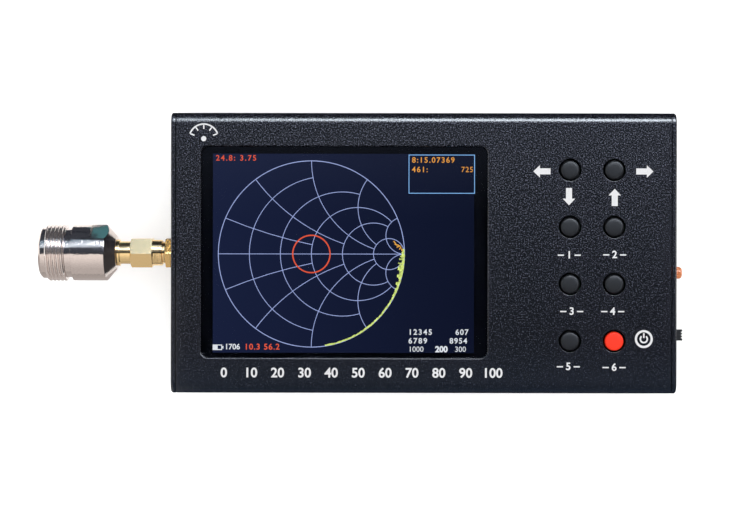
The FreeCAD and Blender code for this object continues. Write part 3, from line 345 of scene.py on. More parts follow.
# ---- Materials ----------------------------------------------------------------------------------
def places(tree):
    """Object coordinates of the shaded point, by axis."""
    place = tree.nodes.new("ShaderNodeTexCoord")
    parts = tree.nodes.new("ShaderNodeSeparateXYZ")
    tree.links.new(place.outputs["Object"], parts.inputs["Vector"])
    return parts.outputs


def noise(tree, grain, detail=3.0, stretch=(1, 1, 1), rough=0.5):
    """Noise with features of the given size, in object coordinates."""
    place = tree.nodes.new("ShaderNodeTexCoord")
    mapping = tree.nodes.new("ShaderNodeMapping")
    mapping.inputs["Scale"].default_value = stretch
    texture = tree.nodes.new("ShaderNodeTexNoise")
    texture.inputs["Scale"].default_value = 1 / grain
    texture.inputs["Detail"].default_value = detail
    texture.inputs["Roughness"].default_value = rough
    tree.links.new(place.outputs["Object"], mapping.inputs["Vector"])
    tree.links.new(mapping.outputs["Vector"], texture.inputs["Vector"])
    return texture.outputs[0]


def along(tree, axis, low, high, start, end):
    """A factor that goes from low to high between two places along an axis of the object."""
    return between(tree, places(tree)[axis], low, high, start, end)


def computed(tree, operation, first, second):
    node = tree.nodes.new("ShaderNodeMath")
    node.operation = operation
    tree.links.new(first, node.inputs[0])
    tree.links.new(second, node.inputs[1])
    return node.outputs[0]


def mixed(tree, factor, first, second):
    """Two colours, of which the first may be plain, mixed by a factor."""
    node = tree.nodes.new("ShaderNodeMixRGB")
    tree.links.new(factor, node.inputs["Fac"])
    if isinstance(first, bpy.types.NodeSocket):
        tree.links.new(first, node.inputs["Color1"])
    else:
        node.inputs["Color1"].default_value = (*first, 1)
    tree.links.new(second, node.inputs["Color2"])
    return node.outputs["Color"]


def ramp(tree, factor, *stops):
    """Colours blended along a factor: stops are (position, colour) pairs."""
    node = tree.nodes.new("ShaderNodeValToRGB")
    for i, (position, shade) in enumerate(stops):
        spot = node.color_ramp.elements[i] if i < 2 else node.color_ramp.elements.new(position)
        spot.position = position
        spot.color = (*shade, 1)
    tree.links.new(factor, node.inputs["Fac"])
    return node.outputs["Color"]


def between(tree, factor, low, high, start=0.3, end=0.7):
    """A factor mapped from one stretch to another."""
    node = tree.nodes.new("ShaderNodeMapRange")
    for name, value in (("From Min", start), ("From Max", end), ("To Min", low), ("To Max", high)):
        node.inputs[name].default_value = value
    tree.links.new(factor, node.inputs["Value"])
    return node.outputs["Result"]


def bump(tree, shader, height, depth, below=None):
    """Relief of the given depth; below is a relief that it lies on."""
    node = tree.nodes.new("ShaderNodeBump")
    node.inputs["Strength"].default_value = 1.0
    node.inputs["Distance"].default_value = depth
    tree.links.new(height, node.inputs["Height"])
    if below:
        tree.links.new(below, node.inputs["Normal"])
    tree.links.new(node.outputs["Normal"], shader.inputs["Normal"])
    return node.outputs["Normal"]


def shaded(name, **sockets):
    """New material, its nodes and its shader, with sockets set by name."""
    made = bpy.data.materials.new(name)
    made.use_nodes = True
    shader = made.node_tree.nodes["Principled BSDF"]
    for socket, value in sockets.items():
        shader.inputs[socket.replace("_", " ")].default_value = value
    return made, made.node_tree, shader


def scaled(shade, share):
    return tuple(c * share for c in shade)


def cloudy(tree, pattern, shade, low, high):
    """A colour that goes from a low to a high share of itself with a noise."""
    return ramp(tree, pattern, (0.3, scaled(shade, low)), (0.7, scaled(shade, high)))


def finish(name, shade, grain, relief, rough, contrast=0.25, stretch=(1, 1, 1), **sockets):
    """Plain finish whose colour, roughness and relief follow one fine noise."""
    made, tree, shader = shaded(name, **sockets)
    pattern = noise(tree, grain, stretch=stretch)
    tone = cloudy(tree, pattern, shade, 1 - contrast, 1 + contrast)
    tree.links.new(tone, shader.inputs["Base Color"])
    tree.links.new(between(tree, pattern, *rough), shader.inputs["Roughness"])
    bump(tree, shader, pattern, relief)
    return made


def powder_coat(shade, fleck_and_glint, blue_reflection):
    """Dark textured paint: fine pale flecks over small grains that catch the light. The flecks are
    partly the paint's own grain and partly painted glints: stronger towards the top edge, where
    the light falls, and fainter on the bends as painted shade. Near the lower edge the plain
    paint turns bluish, a painted reflection."""
    made, tree, shader = shaded("powder_coat", Specular_IOR_Level=1.0)
    grain = 0.36 * MM
    flecks = noise(tree, grain, detail=4.0, rough=0.75)
    grains = noise(tree, grain, detail=2.0)
    tone = ramp(tree, flecks, (0.43, scaled(shade, 0.05)), (0.51, scaled(shade, 0.6)),
                (0.57, scaled(fleck_and_glint, 0.25)), (0.635, fleck_and_glint))
    # Painted glints: the flecks grow stronger towards the top edge, where the light falls
    top_glint_share = along(tree, "Y", 0.2, 1.0, CASE_LOW.y, CASE_HIGH.y * 0.55)
    # Painted shade: the flecks fade on the bends, which face away from the light
    bend_shade_share = ramp(tree, along(tree, "Z", 0.0, 1.0, 0.0, PANEL), (0.82, (0.9, 0.9, 0.9)),
                    (0.92, (0.4, 0.4, 0.4)), (0.956, (0.4, 0.4, 0.4)), (0.994, (1.0, 1.0, 1.0)))
    share = computed(tree, "MULTIPLY", top_glint_share, bend_shade_share)
    # Painted reflection: the plain paint turns bluish towards the lower edge
    plain = ramp(tree, along(tree, "Y", 0.0, 1.0, CASE_LOW.y * 0.93, CASE_LOW.y * 0.6),
                 (0.0, blue_reflection), (1.0, scaled(shade, 1.1)))
    tree.links.new(mixed(tree, share, plain, tone), shader.inputs["Base Color"])
    tree.links.new(between(tree, grains, 0.17, 0.24), shader.inputs["Roughness"])
    bump(tree, shader, grains, 0.06 * MM)
    return made


def plated(name, shade, marks, mottle, rough, grain=0.7 * MM):
    """Plated metal with fine turning marks along its axis and small dents."""
    made, tree, shader = shaded(name, Metallic=1.0)
    turning = noise(tree, 0.16 * MM, detail=2.0, stretch=(1, 0.02, 0.02))
    waves = noise(tree, grain, detail=2.0)
    tree.links.new(cloudy(tree, waves, shade, 0.97, 1.02), shader.inputs["Base Color"])
    tree.links.new(between(tree, turning, *rough), shader.inputs["Roughness"])
    lying = bump(tree, shader, waves, mottle)
    bump(tree, shader, turning, marks, lying)
    return made


def glowing(name, roughness):
    """New material that only shines, its nodes and its shader."""
    return shaded(name, Base_Color=(0.0, 0.0, 0.0, 1), Roughness=roughness,
                  Specular_IOR_Level=0.0, Emission_Strength=1.0)


def lit(name, shade, grain=4 * MM, contrast=0.08):
    """Part of the lit screen: it shines in its own colour, a little unevenly."""
    made, tree, shader = glowing(name, 0.5)
    tone = cloudy(tree, noise(tree, grain, detail=1.0), shade, 1 - contrast, 1 + contrast)
    tree.links.new(tone, shader.inputs["Emission Color"])
    return made


def repaint(material, *nodes):
    """New finish of the CAD nodes that stay as they are."""
    for node in nodes:
        NODES[node].data.materials.clear()
        NODES[node].data.materials.append(material)


# ---- Operators ----------------------------------------------------------------------------------
class BuildStep:
    """What the analyzer's operators share."""
    bl_options = {"REGISTER", "UNDO"}

    def execute(self, context):
        self.build(context.scene.analyzer_sizes, context.scene.analyzer_colours)
        return {"FINISHED"}


class ANALYZER_OT_case(BuildStep, bpy.types.Operator):
    """Both folded covers with soft painted edges, and the screws in the back"""
    bl_idname = "analyzer.case"
    bl_label = "Case"

    NEAR_END = 0.4 * MM        # what counts as the front cover's end faces
    SEAM_PAINT = 0.12 * MM     # how far the seams beside the end walls stand open

    def build(self, sizes, colours):
        paint = powder_coat(colours.paint, colours.fleck_and_glint, colours.lower_edge_reflection)
        front = softened("front_cover", sizes.cover_edge)
        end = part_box("front_cover")[1].x
        for vert in front.verts:
            if abs(vert.co.x) > end - self.NEAR_END:
                vert.co.x -= math.copysign(self.SEAM_PAINT, vert.co.x)
        piece("front_cover_painted", front, paint, "case", ["front_cover"])
        dressed("rear_cover_painted", "rear_cover", sizes.cover_edge, paint, "case")
        black = finish("blackened_steel", (0.02, 0.02, 0.022), 0.3 * MM, 0.004 * MM, (0.28, 0.42),
                       Metallic=0.9)
        dressed("back_screws", "rear_screws", 0.05 * MM, black, "case")


class ANALYZER_OT_print(BuildStep, bpy.types.Operator):
    """White marks printed on the front panel"""
    bl_idname = "analyzer.panel_print"
    bl_label = "Panel print"

    ARROW_LONG = 4.7 * MM
    ARROW_WIDE = 3.4 * MM
    ARROW_HEAD = 1.8 * MM
    ARROW_TAIL = 1.65 * MM
    # Places on the panel in mm: the arrows with their turns, and the numbers by the keys
    ARROWS = [(32.3, 22.4, 180), (60.4, 22.4, 0), (39.7, 15.5, 270), (52.2, 15.3, 90)]
    NUMBERS = [(39.8, -0.5), (52.2, -0.4), (40.5, -15.9), (51.7, -15.9), (39.6, -31.0),
               (52.1, -31.2)]
    NUMBER_HEIGHT = 2.0 * MM
    BAR_LONG = 1.7 * MM
    BAR_WIDE = 0.35 * MM
    BAR_OUT = 2.3 * MM
    SCALE_Y = -32.9 * MM
    SCALE_START = -54.6 * MM
    SCALE_PITCH = 7.35 * MM
    SCALE_HEIGHT = 2.6 * MM
    SCALE_STEPS = 11
    DIAL_X, DIAL_Y, DIAL_RADIUS = -60.2 * MM, 31.2 * MM, 4.0 * MM
    DIAL_START, DIAL_SWEEP = 20, 140
    TICKS = 5
    POWER_X, POWER_Y = 60.2 * MM, -23.4 * MM
    POWER_LINE = 0.42 * MM
    SUNK = 0.01 * MM           # how far the ink goes into the paint

    def arrow(self, x, y, turn):
        """Block arrow turned in plan: a head with a short tail."""
        long, wide, tail = self.ARROW_LONG / 2, self.ARROW_WIDE / 2, self.ARROW_TAIL / 2
        neck = long - self.ARROW_HEAD
        flat = polygon([(-long, -tail), (neck, -tail), (neck, -wide), (long, 0), (neck, wide),
                        (neck, tail), (-long, tail)])
        return placed(flat, x, y, turn)

    def build(self, sizes, colours):
        marks = [self.arrow(x * MM, y * MM, turn) for x, y, turn in self.ARROWS]
        for i, (x, y) in enumerate(self.NUMBERS):
            marks.append(digits(str(i + 1), self.NUMBER_HEIGHT, x * MM, y * MM))
            for out in (-self.BAR_OUT, self.BAR_OUT):
                marks.append(rectangle(x * MM + out, y * MM, self.BAR_LONG, self.BAR_WIDE))
        for i in range(self.SCALE_STEPS):
            marks.append(digits(str(10 * i), self.SCALE_HEIGHT,
                                self.SCALE_START + i * self.SCALE_PITCH, self.SCALE_Y))
        marks += [self.dial(), self.power_mark()]
        ink = finish("white_ink", colours.ink, 0.25 * MM, 0.01 * MM, (0.45, 0.6), 0.08)
        flat = slab(joined(*marks), PANEL - self.SUNK, sizes.print_depth + self.SUNK)
        piece("panel_print", flat, ink, "case")

    def dial(self):
        """Plain dial scale in the upper left corner: an arc, its ticks and a hub."""
        parts = [arc(self.DIAL_X, self.DIAL_Y, self.DIAL_RADIUS, math.radians(self.DIAL_START),
                     math.radians(self.DIAL_SWEEP), 0.4 * MM)]
        for i in range(self.TICKS):
            tick = rectangle(self.DIAL_RADIUS - 0.7 * MM, 0, 1.2 * MM, 0.35 * MM)
            angle = self.DIAL_START + i * self.DIAL_SWEEP / (self.TICKS - 1)
            parts.append(placed(tick, self.DIAL_X, self.DIAL_Y, angle))
        return joined(*parts, disc(self.DIAL_X, self.DIAL_Y, 0.7 * MM))

    def power_mark(self):
        """The usual broken ring and bar, inside a whole ring."""
        x, y, radius = self.POWER_X, self.POWER_Y, 0.95 * MM
        return joined(arc(x, y, 2.15 * MM, 0, FULL_TURN, 0.6 * MM),
                      arc(x, y, radius, math.radians(130), math.radians(280), self.POWER_LINE),
                      rectangle(x, y + radius, self.POWER_LINE, 1.3 * MM))


class ANALYZER_OT_keys(BuildStep, bpy.types.Operator):
    """Eight round caps with softly domed faces"""
    bl_idname = "analyzer.keys"
    bl_label = "Keys"

    TAPER = 0.25 * MM
    CORNER = 0.16 * MM

    def build(self, sizes, colours):
        black = finish("black_key", colours.black_key, 0.12 * MM, 0.006 * MM, (0.34, 0.46), 0.2)
        red = finish("red_key", colours.red_key, 0.12 * MM, 0.006 * MM, (0.32, 0.44), 0.05,
                     Specular_IOR_Level=0.2)
        for name in KEY_NAMES:
            node = "key_" + name
            low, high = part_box(node)
            middle = (low + high) / 2
            across = high.x - low.x
            top = across - self.TAPER
            rim = high.z - sizes.key_dome
            outline = [(low.z, 0), (low.z, across), (rim - 2 * sizes.key_edge, top),
                       (rim - sizes.key_edge, top), (rim, top - 1.4 * sizes.key_edge),
                       (high.z - 0.25 * sizes.key_dome, across / 2), (high.z, 0)]
            cap = lathe(outline, Vector((middle.x, middle.y, 0)), Vector((0, 0, 1)),
                        Vector((1, 0, 0)), self.CORNER, 64)
            material, slot = (red, "key_red") if name == "menu" else (black, "key_black")
            piece(node + "_cap", cap, material, node, [node], crease=60.0)


class ANALYZER_OT_screen(BuildStep, bpy.types.Operator):
    """Cover glass and the black border of the display behind it"""
    bl_idname = "analyzer.screen"
    bl_label = "Screen"

    GAP = 0.35 * MM            # between the display and the underside of the glass
    EDGE = 0.2 * MM
    CORNER = 1.5 * MM

    def build(self, sizes, colours):
        size = GLASS_HIGH - GLASS_LOW
        middle = (GLASS_HIGH + GLASS_LOW) / 2
        plate = rectangle(middle.x, middle.y, size.x, size.y, self.CORNER)
        slab(plate, GLASS_LOW.z + self.GAP, size.z - self.GAP)
        glass, tree, shader = shaded("cover_glass", Transmission_Weight=1.0, IOR=1.45,
                                     Specular_IOR_Level=0.5)
        smear = noise(tree, 9 * MM)
        tree.links.new(between(tree, smear, 0.0, 0.03), shader.inputs["Roughness"])
        tree.links.new(ramp(tree, smear, (0.3, (0.93, 0.95, 0.96)), (0.7, (0.96, 0.97, 0.98))),
                       shader.inputs["Base Color"])
        piece("cover_glass", plate, glass, "case", ["screen_glass"])
        border = finish("display_border", (0.005, 0.005, 0.006), 0.4 * MM, 0.0002 * MM, (0.5, 0.6),
                        Specular_IOR_Level=0.0)
        read = ANALYZER_OT_readout
        mask = band(middle.x, middle.y, size.x - self.EDGE, size.y - self.EDGE,
                    read.LIT_X, read.LIT_Y, read.LIT_WIDTH, read.LIT_HEIGHT)
        read.film("display_mask", [mask], 0.0, border, read.LAYER)
        repaint(border, "lcd_cell")


class ANALYZER_OT_readout(BuildStep, bpy.types.Operator):
    """What the lit display shows: a circular impedance chart, a trace and figures"""
    bl_idname = "analyzer.readout"
    bl_label = "Readout"

    LIT_X, LIT_Y = -22.0 * MM, -0.1 * MM
    LIT_WIDTH, LIT_HEIGHT = 71.8 * MM, 54.7 * MM
    CHART_X, CHART_Y = -30.8 * MM, -0.3 * MM
    # Values that the chart draws, both as resistance and as reactance, and where each is cut
    VALUES = [(0.2, 1.0), (0.5, 2.0), (1.0, 5.0), (2.0, 5.0), (5.0, None)]
    LEVEL_CIRCLE = 5.13 * MM
    LAYER = 0.05 * MM          # from the display to its lowest layer, and that layer's thickness
    FILM = 0.03 * MM           # thickness of the layers over it
    CHART_RISE, FIGURE_RISE, TRACE_RISE = 0.08 * MM, 0.14 * MM, 0.20 * MM
    FIGURE = 1.5 * MM          # height of most figures
    BIG_FIGURE = 1.6 * MM
    RED, BLUE = (0.86, 0.11, 0.05), (0.26, 0.55, 1.0)
    ORANGE, WHITE = (0.86, 0.36, 0.06), (0.80, 0.83, 0.88)
    MARKER = (0.88, 0.42, 0.07)
    # Figures on the screen: what they say, x and y in mm, boldness and spacing
    RED_FIGURES = [("24.8: 3.75", -57.1, 26.0, 0.02, 1.3)]
    ORANGE_FIGURES = [("8:15.07369", -3.2, 25.5, 0.02, 1.25), ("461:", -3.2, 22.9, 0.02, 1.25),
                      ("725", 10.3, 22.9, 0.0, 1.1)]
    WHITE_FIGURES = [("1706", -54.6, -25.9, 0.03, 1.0), ("12345", -4.1, -21.8, 0.03, 1.3),
                     ("607", 8.8, -21.8, 0.03, 1.2), ("6789", -4.1, -24.2, 0.03, 1.3),
                     ("8954", 7.2, -24.2, 0.03, 1.2), ("1000", -4.1, -26.5, 0.0, 1.0)]
    STREAKS = 90
    STREAK_LENGTH = 1.7 * MM
    DASHES = 5

    @classmethod
    def film(cls, name, flats, rise, material, depth=FILM):
        """Flat shapes as one thin layer of the display, at a height over its lowest layer."""
        low = CELL_TOP + cls.LAYER
        piece(name, slab(joined(*flats), low + rise, depth), material, "case")

    @classmethod
    def figures(cls, rows, height=FIGURE):
        return [digits(text, height, x * MM, y * MM, "LEFT", bold, spacing)
                for text, x, y, bold, spacing in rows]

    def resistance(self, value, limit, radius, line):
        """Circle of constant resistance, open on the right where it is cut at a reactance."""
        middle = value / (1 + value)
        start = 0.0
        if limit:
            z = complex(value, limit)
            start = cmath.phase((z - 1) / (z + 1) - middle)
        return arc(self.CHART_X + radius * middle, self.CHART_Y, radius * (1 - middle), start,
                   FULL_TURN - 2 * start, line)

    def reactance(self, value, limit, radius, line):
        """Arc of constant reactance from the chart's rim inwards."""
        middle = complex(1, 1 / value)
        z = complex(0, value)
        start = cmath.phase((z - 1) / (z + 1) - middle)
        z = complex(limit, value) if limit else None
        end = cmath.phase(((z - 1) / (z + 1) if z else 1) - middle)
        sweep = (end - start + math.pi) % FULL_TURN - math.pi
        return arc(self.CHART_X + radius * middle.real, self.CHART_Y + radius * middle.imag,
                   radius / abs(value), start, sweep, line)

    def build(self, sizes, colours):
        radius, line = sizes.chart_radius, sizes.chart_line
        back, tree, shader = glowing("display_background", 0.5)
        half = self.LIT_WIDTH / 2
        across = along(tree, "X", 0.0, 1.0, self.LIT_X - half, self.LIT_X + half)
        shades = [(place, scaled(colours.screen, share))
                  for place, share in ((0.0, 1.05), (0.6, 0.7), (1.0, 0.5))]
        tree.links.new(ramp(tree, across, *shades), shader.inputs["Emission Color"])
        flat = rectangle(self.LIT_X, self.LIT_Y, self.LIT_WIDTH, self.LIT_HEIGHT)
        self.film("display_background", [flat], 0.0, back, self.LAYER)

        lines = [arc(self.CHART_X, self.CHART_Y, radius, 0, FULL_TURN, line * 1.2)]
        lines += [self.resistance(*cut, radius, line) for cut in self.VALUES]
        for value, limit in self.VALUES:
            lines += [self.reactance(side * value, limit, radius, line) for side in (1, -1)]
        lines.append(rectangle(self.CHART_X, self.CHART_Y, 2 * radius, line))
        self.film("display_chart", lines, self.CHART_RISE, lit("chart_lines", colours.grid))

        red = [arc(self.CHART_X, self.CHART_Y, self.LEVEL_CIRCLE, 0, FULL_TURN, 0.36 * MM)]
        red += self.figures(self.RED_FIGURES)
        red += self.figures([("10.3 56.2", -49.2, -25.9, 0.02, 1.15)], self.BIG_FIGURE)
        self.film("display_red", red, self.FIGURE_RISE, lit("red_figures", self.RED))
        box = frame_outline(5.0 * MM, 21.7 * MM, 18.2 * MM, 10.7 * MM, 0.19 * MM)
        self.film("display_box", [box], self.FIGURE_RISE, lit("blue_box", self.BLUE))
        self.film("display_orange", self.figures(self.ORANGE_FIGURES), self.FIGURE_RISE,
                  lit("orange_figures", self.ORANGE))
        white = self.figures(self.WHITE_FIGURES)
        white += self.figures([("200", 3.3, -26.5, 0.06, 1.0)], self.BIG_FIGURE)
        white += self.figures([("300", 8.6, -26.5, 0.0, 1.0)])
        self.film("display_white", white + self.battery_mark(), self.FIGURE_RISE,
                  lit("white_figures", self.WHITE))
        self.trace(radius, CELL_TOP + self.LAYER + self.TRACE_RISE, colours)

    def battery_mark(self):
        """Battery sign in the lower left corner: its outline, its tip and what is left in it."""
        y = -26.0 * MM
        return [frame_outline(-56.6 * MM, y, 2.6 * MM, 1.5 * MM, 0.25 * MM),
                rectangle(-55.1 * MM, y, 0.35 * MM, 0.7 * MM),
                rectangle(-57.1 * MM, y, 1.1 * MM, 1.0 * MM)]

    def trace(self, radius, height, colours):
        """Measured curve along the chart's rim, with ragged noise towards its end."""
        start, ragged, end = math.radians(-81.5), math.radians(-28), math.radians(3)
        curve = arc(self.CHART_X, self.CHART_Y, radius * 0.994, start, -start, 0.42 * MM,
                    math.radians(0.7))
        roll = random.Random(7)
        for vert in curve.verts:
            arm = Vector((vert.co.x - self.CHART_X, vert.co.y - self.CHART_Y, 0))
            vert.co += arm.normalized() * (roll.uniform(-0.12, 0.08) * MM)
        streaks = []
        for i in range(self.STREAKS):
            share = (i + roll.uniform(0.0, 0.8)) / self.STREAKS
            angle = ragged + (end - ragged) * share
            swell = max(0.2, math.sin(math.pi * share ** 1.5)) ** 0.6
            deep = self.STREAK_LENGTH * swell * roll.uniform(0.15, 1.0)
            streak = rectangle(radius - deep / 2, 0, deep, roll.uniform(0.16, 0.4) * MM)
            lean = Matrix.Rotation(roll.uniform(-0.6, 0.6), 4, "Z")
            bmesh.ops.rotate(streak, cent=(radius - deep / 2, 0, 0), matrix=lean,
                             verts=streak.verts)
            placed(streak, self.CHART_X, self.CHART_Y, math.degrees(angle))
            streaks.append(slab(streak, height - self.FILM + i % 4 * 0.005 * MM, 0.004 * MM))
        self.film("display_trace", [curve], self.TRACE_RISE,
                  lit("trace_line", colours.trace, 0.9 * MM, 0.25))
        piece("display_noise", joined(*streaks),
              lit("trace_noise", scaled(colours.trace, 0.95), 0.7 * MM, 0.4), "case")
        self.marker(radius, height)

    def marker(self, radius, height):
        """Orange squiggle where the noise ends, made of short dashes that turn as they go."""
        dashes = []
        for i in range(self.DASHES):
            dash = rectangle(0, 0, (1.5 - 0.2 * i) * MM, 0.3 * MM)
            placed(dash, self.CHART_X + radius * (0.90 + 0.018 * i),
                   self.CHART_Y + (3.0 - 0.45 * i) * MM, -55 + 38 * i)
            dashes.append(slab(dash, height + (0.04 + 0.004 * i) * MM, 0.003 * MM))
        piece("display_marker", joined(*dashes), lit("marker_line", self.MARKER), "case")


class ANALYZER_OT_side_fittings(BuildStep, bpy.types.Operator):
    """Lamp, slide switch and charging port in the right-hand wall"""
    bl_idname = "analyzer.side_fittings"
    bl_label = "Side fittings"

    def build(self, sizes, colours):
        low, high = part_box("indicator_lamp")
        middle = (low + high) / 2
        across = high.y - low.y
        outline = [(low.x, 0), (low.x, across), (high.x - 0.7 * MM, across),
                   (high.x - 0.12 * MM, across * 0.8), (high.x, 0)]
        lens = lathe(outline, Vector((0, middle.y, middle.z)), Vector((1, 0, 0)), Vector((0, 0, 1)),
                     0.3 * MM, 64)
        amber, tree, shader = shaded("amber_lens", Transmission_Weight=0.35, IOR=1.49,
                                     Subsurface_Weight=0.2, Emission_Strength=0.06)
        cloud = noise(tree, 0.8 * MM)
        tone = cloudy(tree, cloud, colours.lamp, 0.85, 1.05)
        tree.links.new(tone, shader.inputs["Base Color"])
        tree.links.new(tone, shader.inputs["Emission Color"])
        tree.links.new(between(tree, cloud, 0.2, 0.32), shader.inputs["Roughness"])
        piece("lamp_lens", lens, amber, "case", ["indicator_lamp"], crease=60.0)
        black = finish("black_nylon", (0.016, 0.016, 0.018), 0.15 * MM, 0.01 * MM, (0.3, 0.45))
        dressed("slide_knob", "slide_lever", 0.08 * MM, black, "slide_lever")
        steel = finish("pressed_steel", (0.56, 0.56, 0.57), 0.1 * MM, 0.002 * MM, (0.2, 0.34), 0.1,
                       (1, 8, 1), Metallic=1.0)
        dressed("port_shell", "usb_shell", 0.05 * MM, steel, "case")
        dressed("port_tongue", "usb_tongue", 0.05 * MM, black, "case")


class ANALYZER_OT_jack(BuildStep, bpy.types.Operator):
    """Gold-plated jack with its thread, lock washer and panel nut"""
    bl_idname = "analyzer.jack"
    bl_label = "Jack"

    THREAD_DIAMETER = 6.35 * MM
    THREAD_DEPTH = 0.43 * MM
    THREAD_START = 0.7 * MM
    THREAD_END = 0.25 * MM     # plain stretch at the open end
    UNDER_THREAD = 0.05 * MM   # the barrel's depth below the thread's root
    OVERLAP = 0.1 * MM         # how far the thread's ring reaches into the barrel

    def build(self, sizes, colours):
        gold = gold_plate(colours)
        barrel = merged("jack_body")
        bmesh.ops.bisect_plane(barrel, geom=whole(barrel), dist=FINE_WELD, plane_no=(1, 0, 0),
                               plane_co=(WALL - self.THREAD_START, 0, 0))
        root = self.THREAD_DIAMETER / 2 - self.THREAD_DEPTH - self.UNDER_THREAD
        for vert in barrel.verts:
            if WALL - vert.co.x > self.THREAD_START + WELD and spoke(vert).length > root:
                set_radius(vert, root)
        end = reach("jack_body")[1] - self.THREAD_END
        ring = thread(self.THREAD_START, end, self.THREAD_DIAMETER, self.THREAD_DEPTH,
                      sizes.small_pitch, 2 * (root - self.OVERLAP))
        piece("jack_barrel", joined(barrel, ring), gold, "case", ["jack_body"])
        dressed("toothed_washer", "lock_washer", 0.04 * MM, gold, "case")
        dressed("wall_nut", "panel_nut", 0.15 * MM, gold_with_shaded_top(colours), "case")
        dressed("jack_pin_socket", "jack_contact", 0.03 * MM, gold, "case")


def gold_plate(colours):
    return bpy.data.materials.get("gold_plate") or plated(
        "gold_plate", colours.gold, 0.0012 * MM, 0.006 * MM, (0.10, 0.2))


def gold_with_shaded_top(colours):
    """Gold of the nut on the wall, with painted brown shade on its side towards the top edge."""
    made = plated("dull_gold", colours.dull_gold, 0.004 * MM, 0.02 * MM, (0.16, 0.28), 0.5 * MM)
    tree, shader = made.node_tree, made.node_tree.nodes["Principled BSDF"]
    # Painted shade: the nut's upper side turns a noisy brown
    upper = along(tree, "Y", 0.0, 1.0, -0.4 * MM, 0.4 * MM)
    painted_shade = ramp(tree, noise(tree, 0.5 * MM), (0.4, scaled(colours.gold_upper_shade, 0.4)),
                 (0.6, colours.gold_upper_shade))
    tree.links.new(mixed(tree, upper, colours.dull_gold, painted_shade), shader.inputs["Base Color"])
    return made


def nickel_lit_below(colours):
    """Outside thread's nickel, less metallic below the axis: painted light on the lower flanks."""
    made = plated("nickel_lit_below", colours.nickel, 0.0012 * MM, 0.02 * MM, (0.10, 0.2))
    tree, shader = made.node_tree, made.node_tree.nodes["Principled BSDF"]
    # Painted light: less metallic below the axis, so the lower flanks show lighter
    tree.links.new(along(tree, "Y", 0.87, 0.95, -1.5 * MM, 1.5 * MM), shader.inputs["Metallic"])
    return made


def waxy_white():
    return bpy.data.materials.get("white_insulator") or finish(
        "white_insulator", (0.78, 0.77, 0.74), 0.4 * MM, 0.006 * MM, (0.35, 0.5), 0.03)


class ANALYZER_OT_nut(BuildStep, bpy.types.Operator):
    """Coupling nut with turned rings on its skirt"""
    bl_idname = "analyzer.coupling_nut"
    bl_label = "Coupling nut"

    RINGS = 6
    SKIRT = 7.31 * MM
    SKIRT_LENGTH = 2.7 * MM
    RING_DEPTH = 0.18 * MM
    UNDER_RINGS = 0.6 * MM     # how far the ringed sleeve reaches down, on the diameter

    def build(self, sizes, colours):
        near = reach("coupling_nut")[0]
        hexagon_start = near + self.SKIRT_LENGTH
        pitch = (hexagon_start - near - 0.3 * MM) / self.RINGS
        valley = self.SKIRT - self.RING_DEPTH
        outline = [(near, self.SKIRT - self.UNDER_RINGS)]
        for i in range(self.RINGS):
            start = near + 0.02 * MM + i * pitch
            outline += [(start, self.SKIRT), (start + pitch * 0.6, self.SKIRT),
                        (start + pitch * 0.65, valley), (start + pitch * 0.95, valley)]
        outline += [(hexagon_start + 0.1 * MM, valley),
                    (hexagon_start + 0.1 * MM, self.SKIRT - self.UNDER_RINGS)]
        body = softened("coupling_nut", 0.12 * MM, 3)
        radius = self.SKIRT / 2
        for vert in body.verts:
            if (WALL - vert.co.x < hexagon_start - 0.3 * MM
                    and spoke(vert).length > radius - 0.2 * MM):
                set_radius(vert, radius - 0.15 * MM)
        brushed = plated("brushed_gold", colours.gold, 0.0025 * MM, 0.014 * MM, (0.10, 0.16),
                         0.32 * MM)
        piece("turning_nut", joined(body, on_axis(outline)), brushed, "coupling_nut",
              ["coupling_nut"])


class ANALYZER_OT_adapter(BuildStep, bpy.types.Operator):
    """Adapter: nickel body with its thread, gold neck, stem and centre contact"""
    bl_idname = "analyzer.adapter"
    bl_label = "Adapter"

    THREAD_DIAMETER = 15.88 * MM
    THREAD_DEPTH = 0.36 * MM
    THREAD_LENGTH = 5.3 * MM
    THREAD_INSET = 0.05 * MM   # bare stretch at each end of the thread
    UNDER_THREAD = 0.06 * MM   # the body's depth below the thread's root
    OVERLAP = 0.2 * MM         # how far the thread's ring reaches into the body
    LEAD_IN_LENGTH = 2.0 * MM
    CLOSE = 0.01 * MM          # what counts as at the thread's ends
    CORNER = 0.12 * MM

    def build(self, sizes, colours):
        gold = gold_plate(colours)
        nickel = plated("nickel_plate", colours.nickel, 0.0012 * MM, 0.032 * MM, (0.07, 0.12),
                        0.55 * MM)
        end = reach("adapter_body")[1] - self.LEAD_IN_LENGTH
        start = end - self.THREAD_LENGTH
        body = softened("adapter_body", self.CORNER, 3)
        core = self.THREAD_DIAMETER / 2 - self.THREAD_DEPTH - self.UNDER_THREAD
        for vert in body.verts:
            if (start - self.CLOSE < WALL - vert.co.x < end + self.CLOSE
                    and spoke(vert).length > core):
                set_radius(vert, core)
        ring = thread(start + self.THREAD_INSET, end - self.THREAD_INSET, self.THREAD_DIAMETER,
                      self.THREAD_DEPTH, sizes.big_pitch, 2 * (core - self.OVERLAP), 120)
        piece("adapter_shell", body, nickel, "adapter", ["adapter_body"])
        piece("adapter_thread", ring, nickel_lit_below(colours), "adapter")
        for node in ("adapter_neck", "adapter_stem"):
            dressed(node + "_gold", node, 0.08 * MM, gold, "adapter", 3)
        dressed("centre_contact", "adapter_contact", 0.06 * MM, gold, "adapter", 3)
        dressed("socket_bead", "socket_insulator", 0.05 * MM, waxy_white(), "adapter")


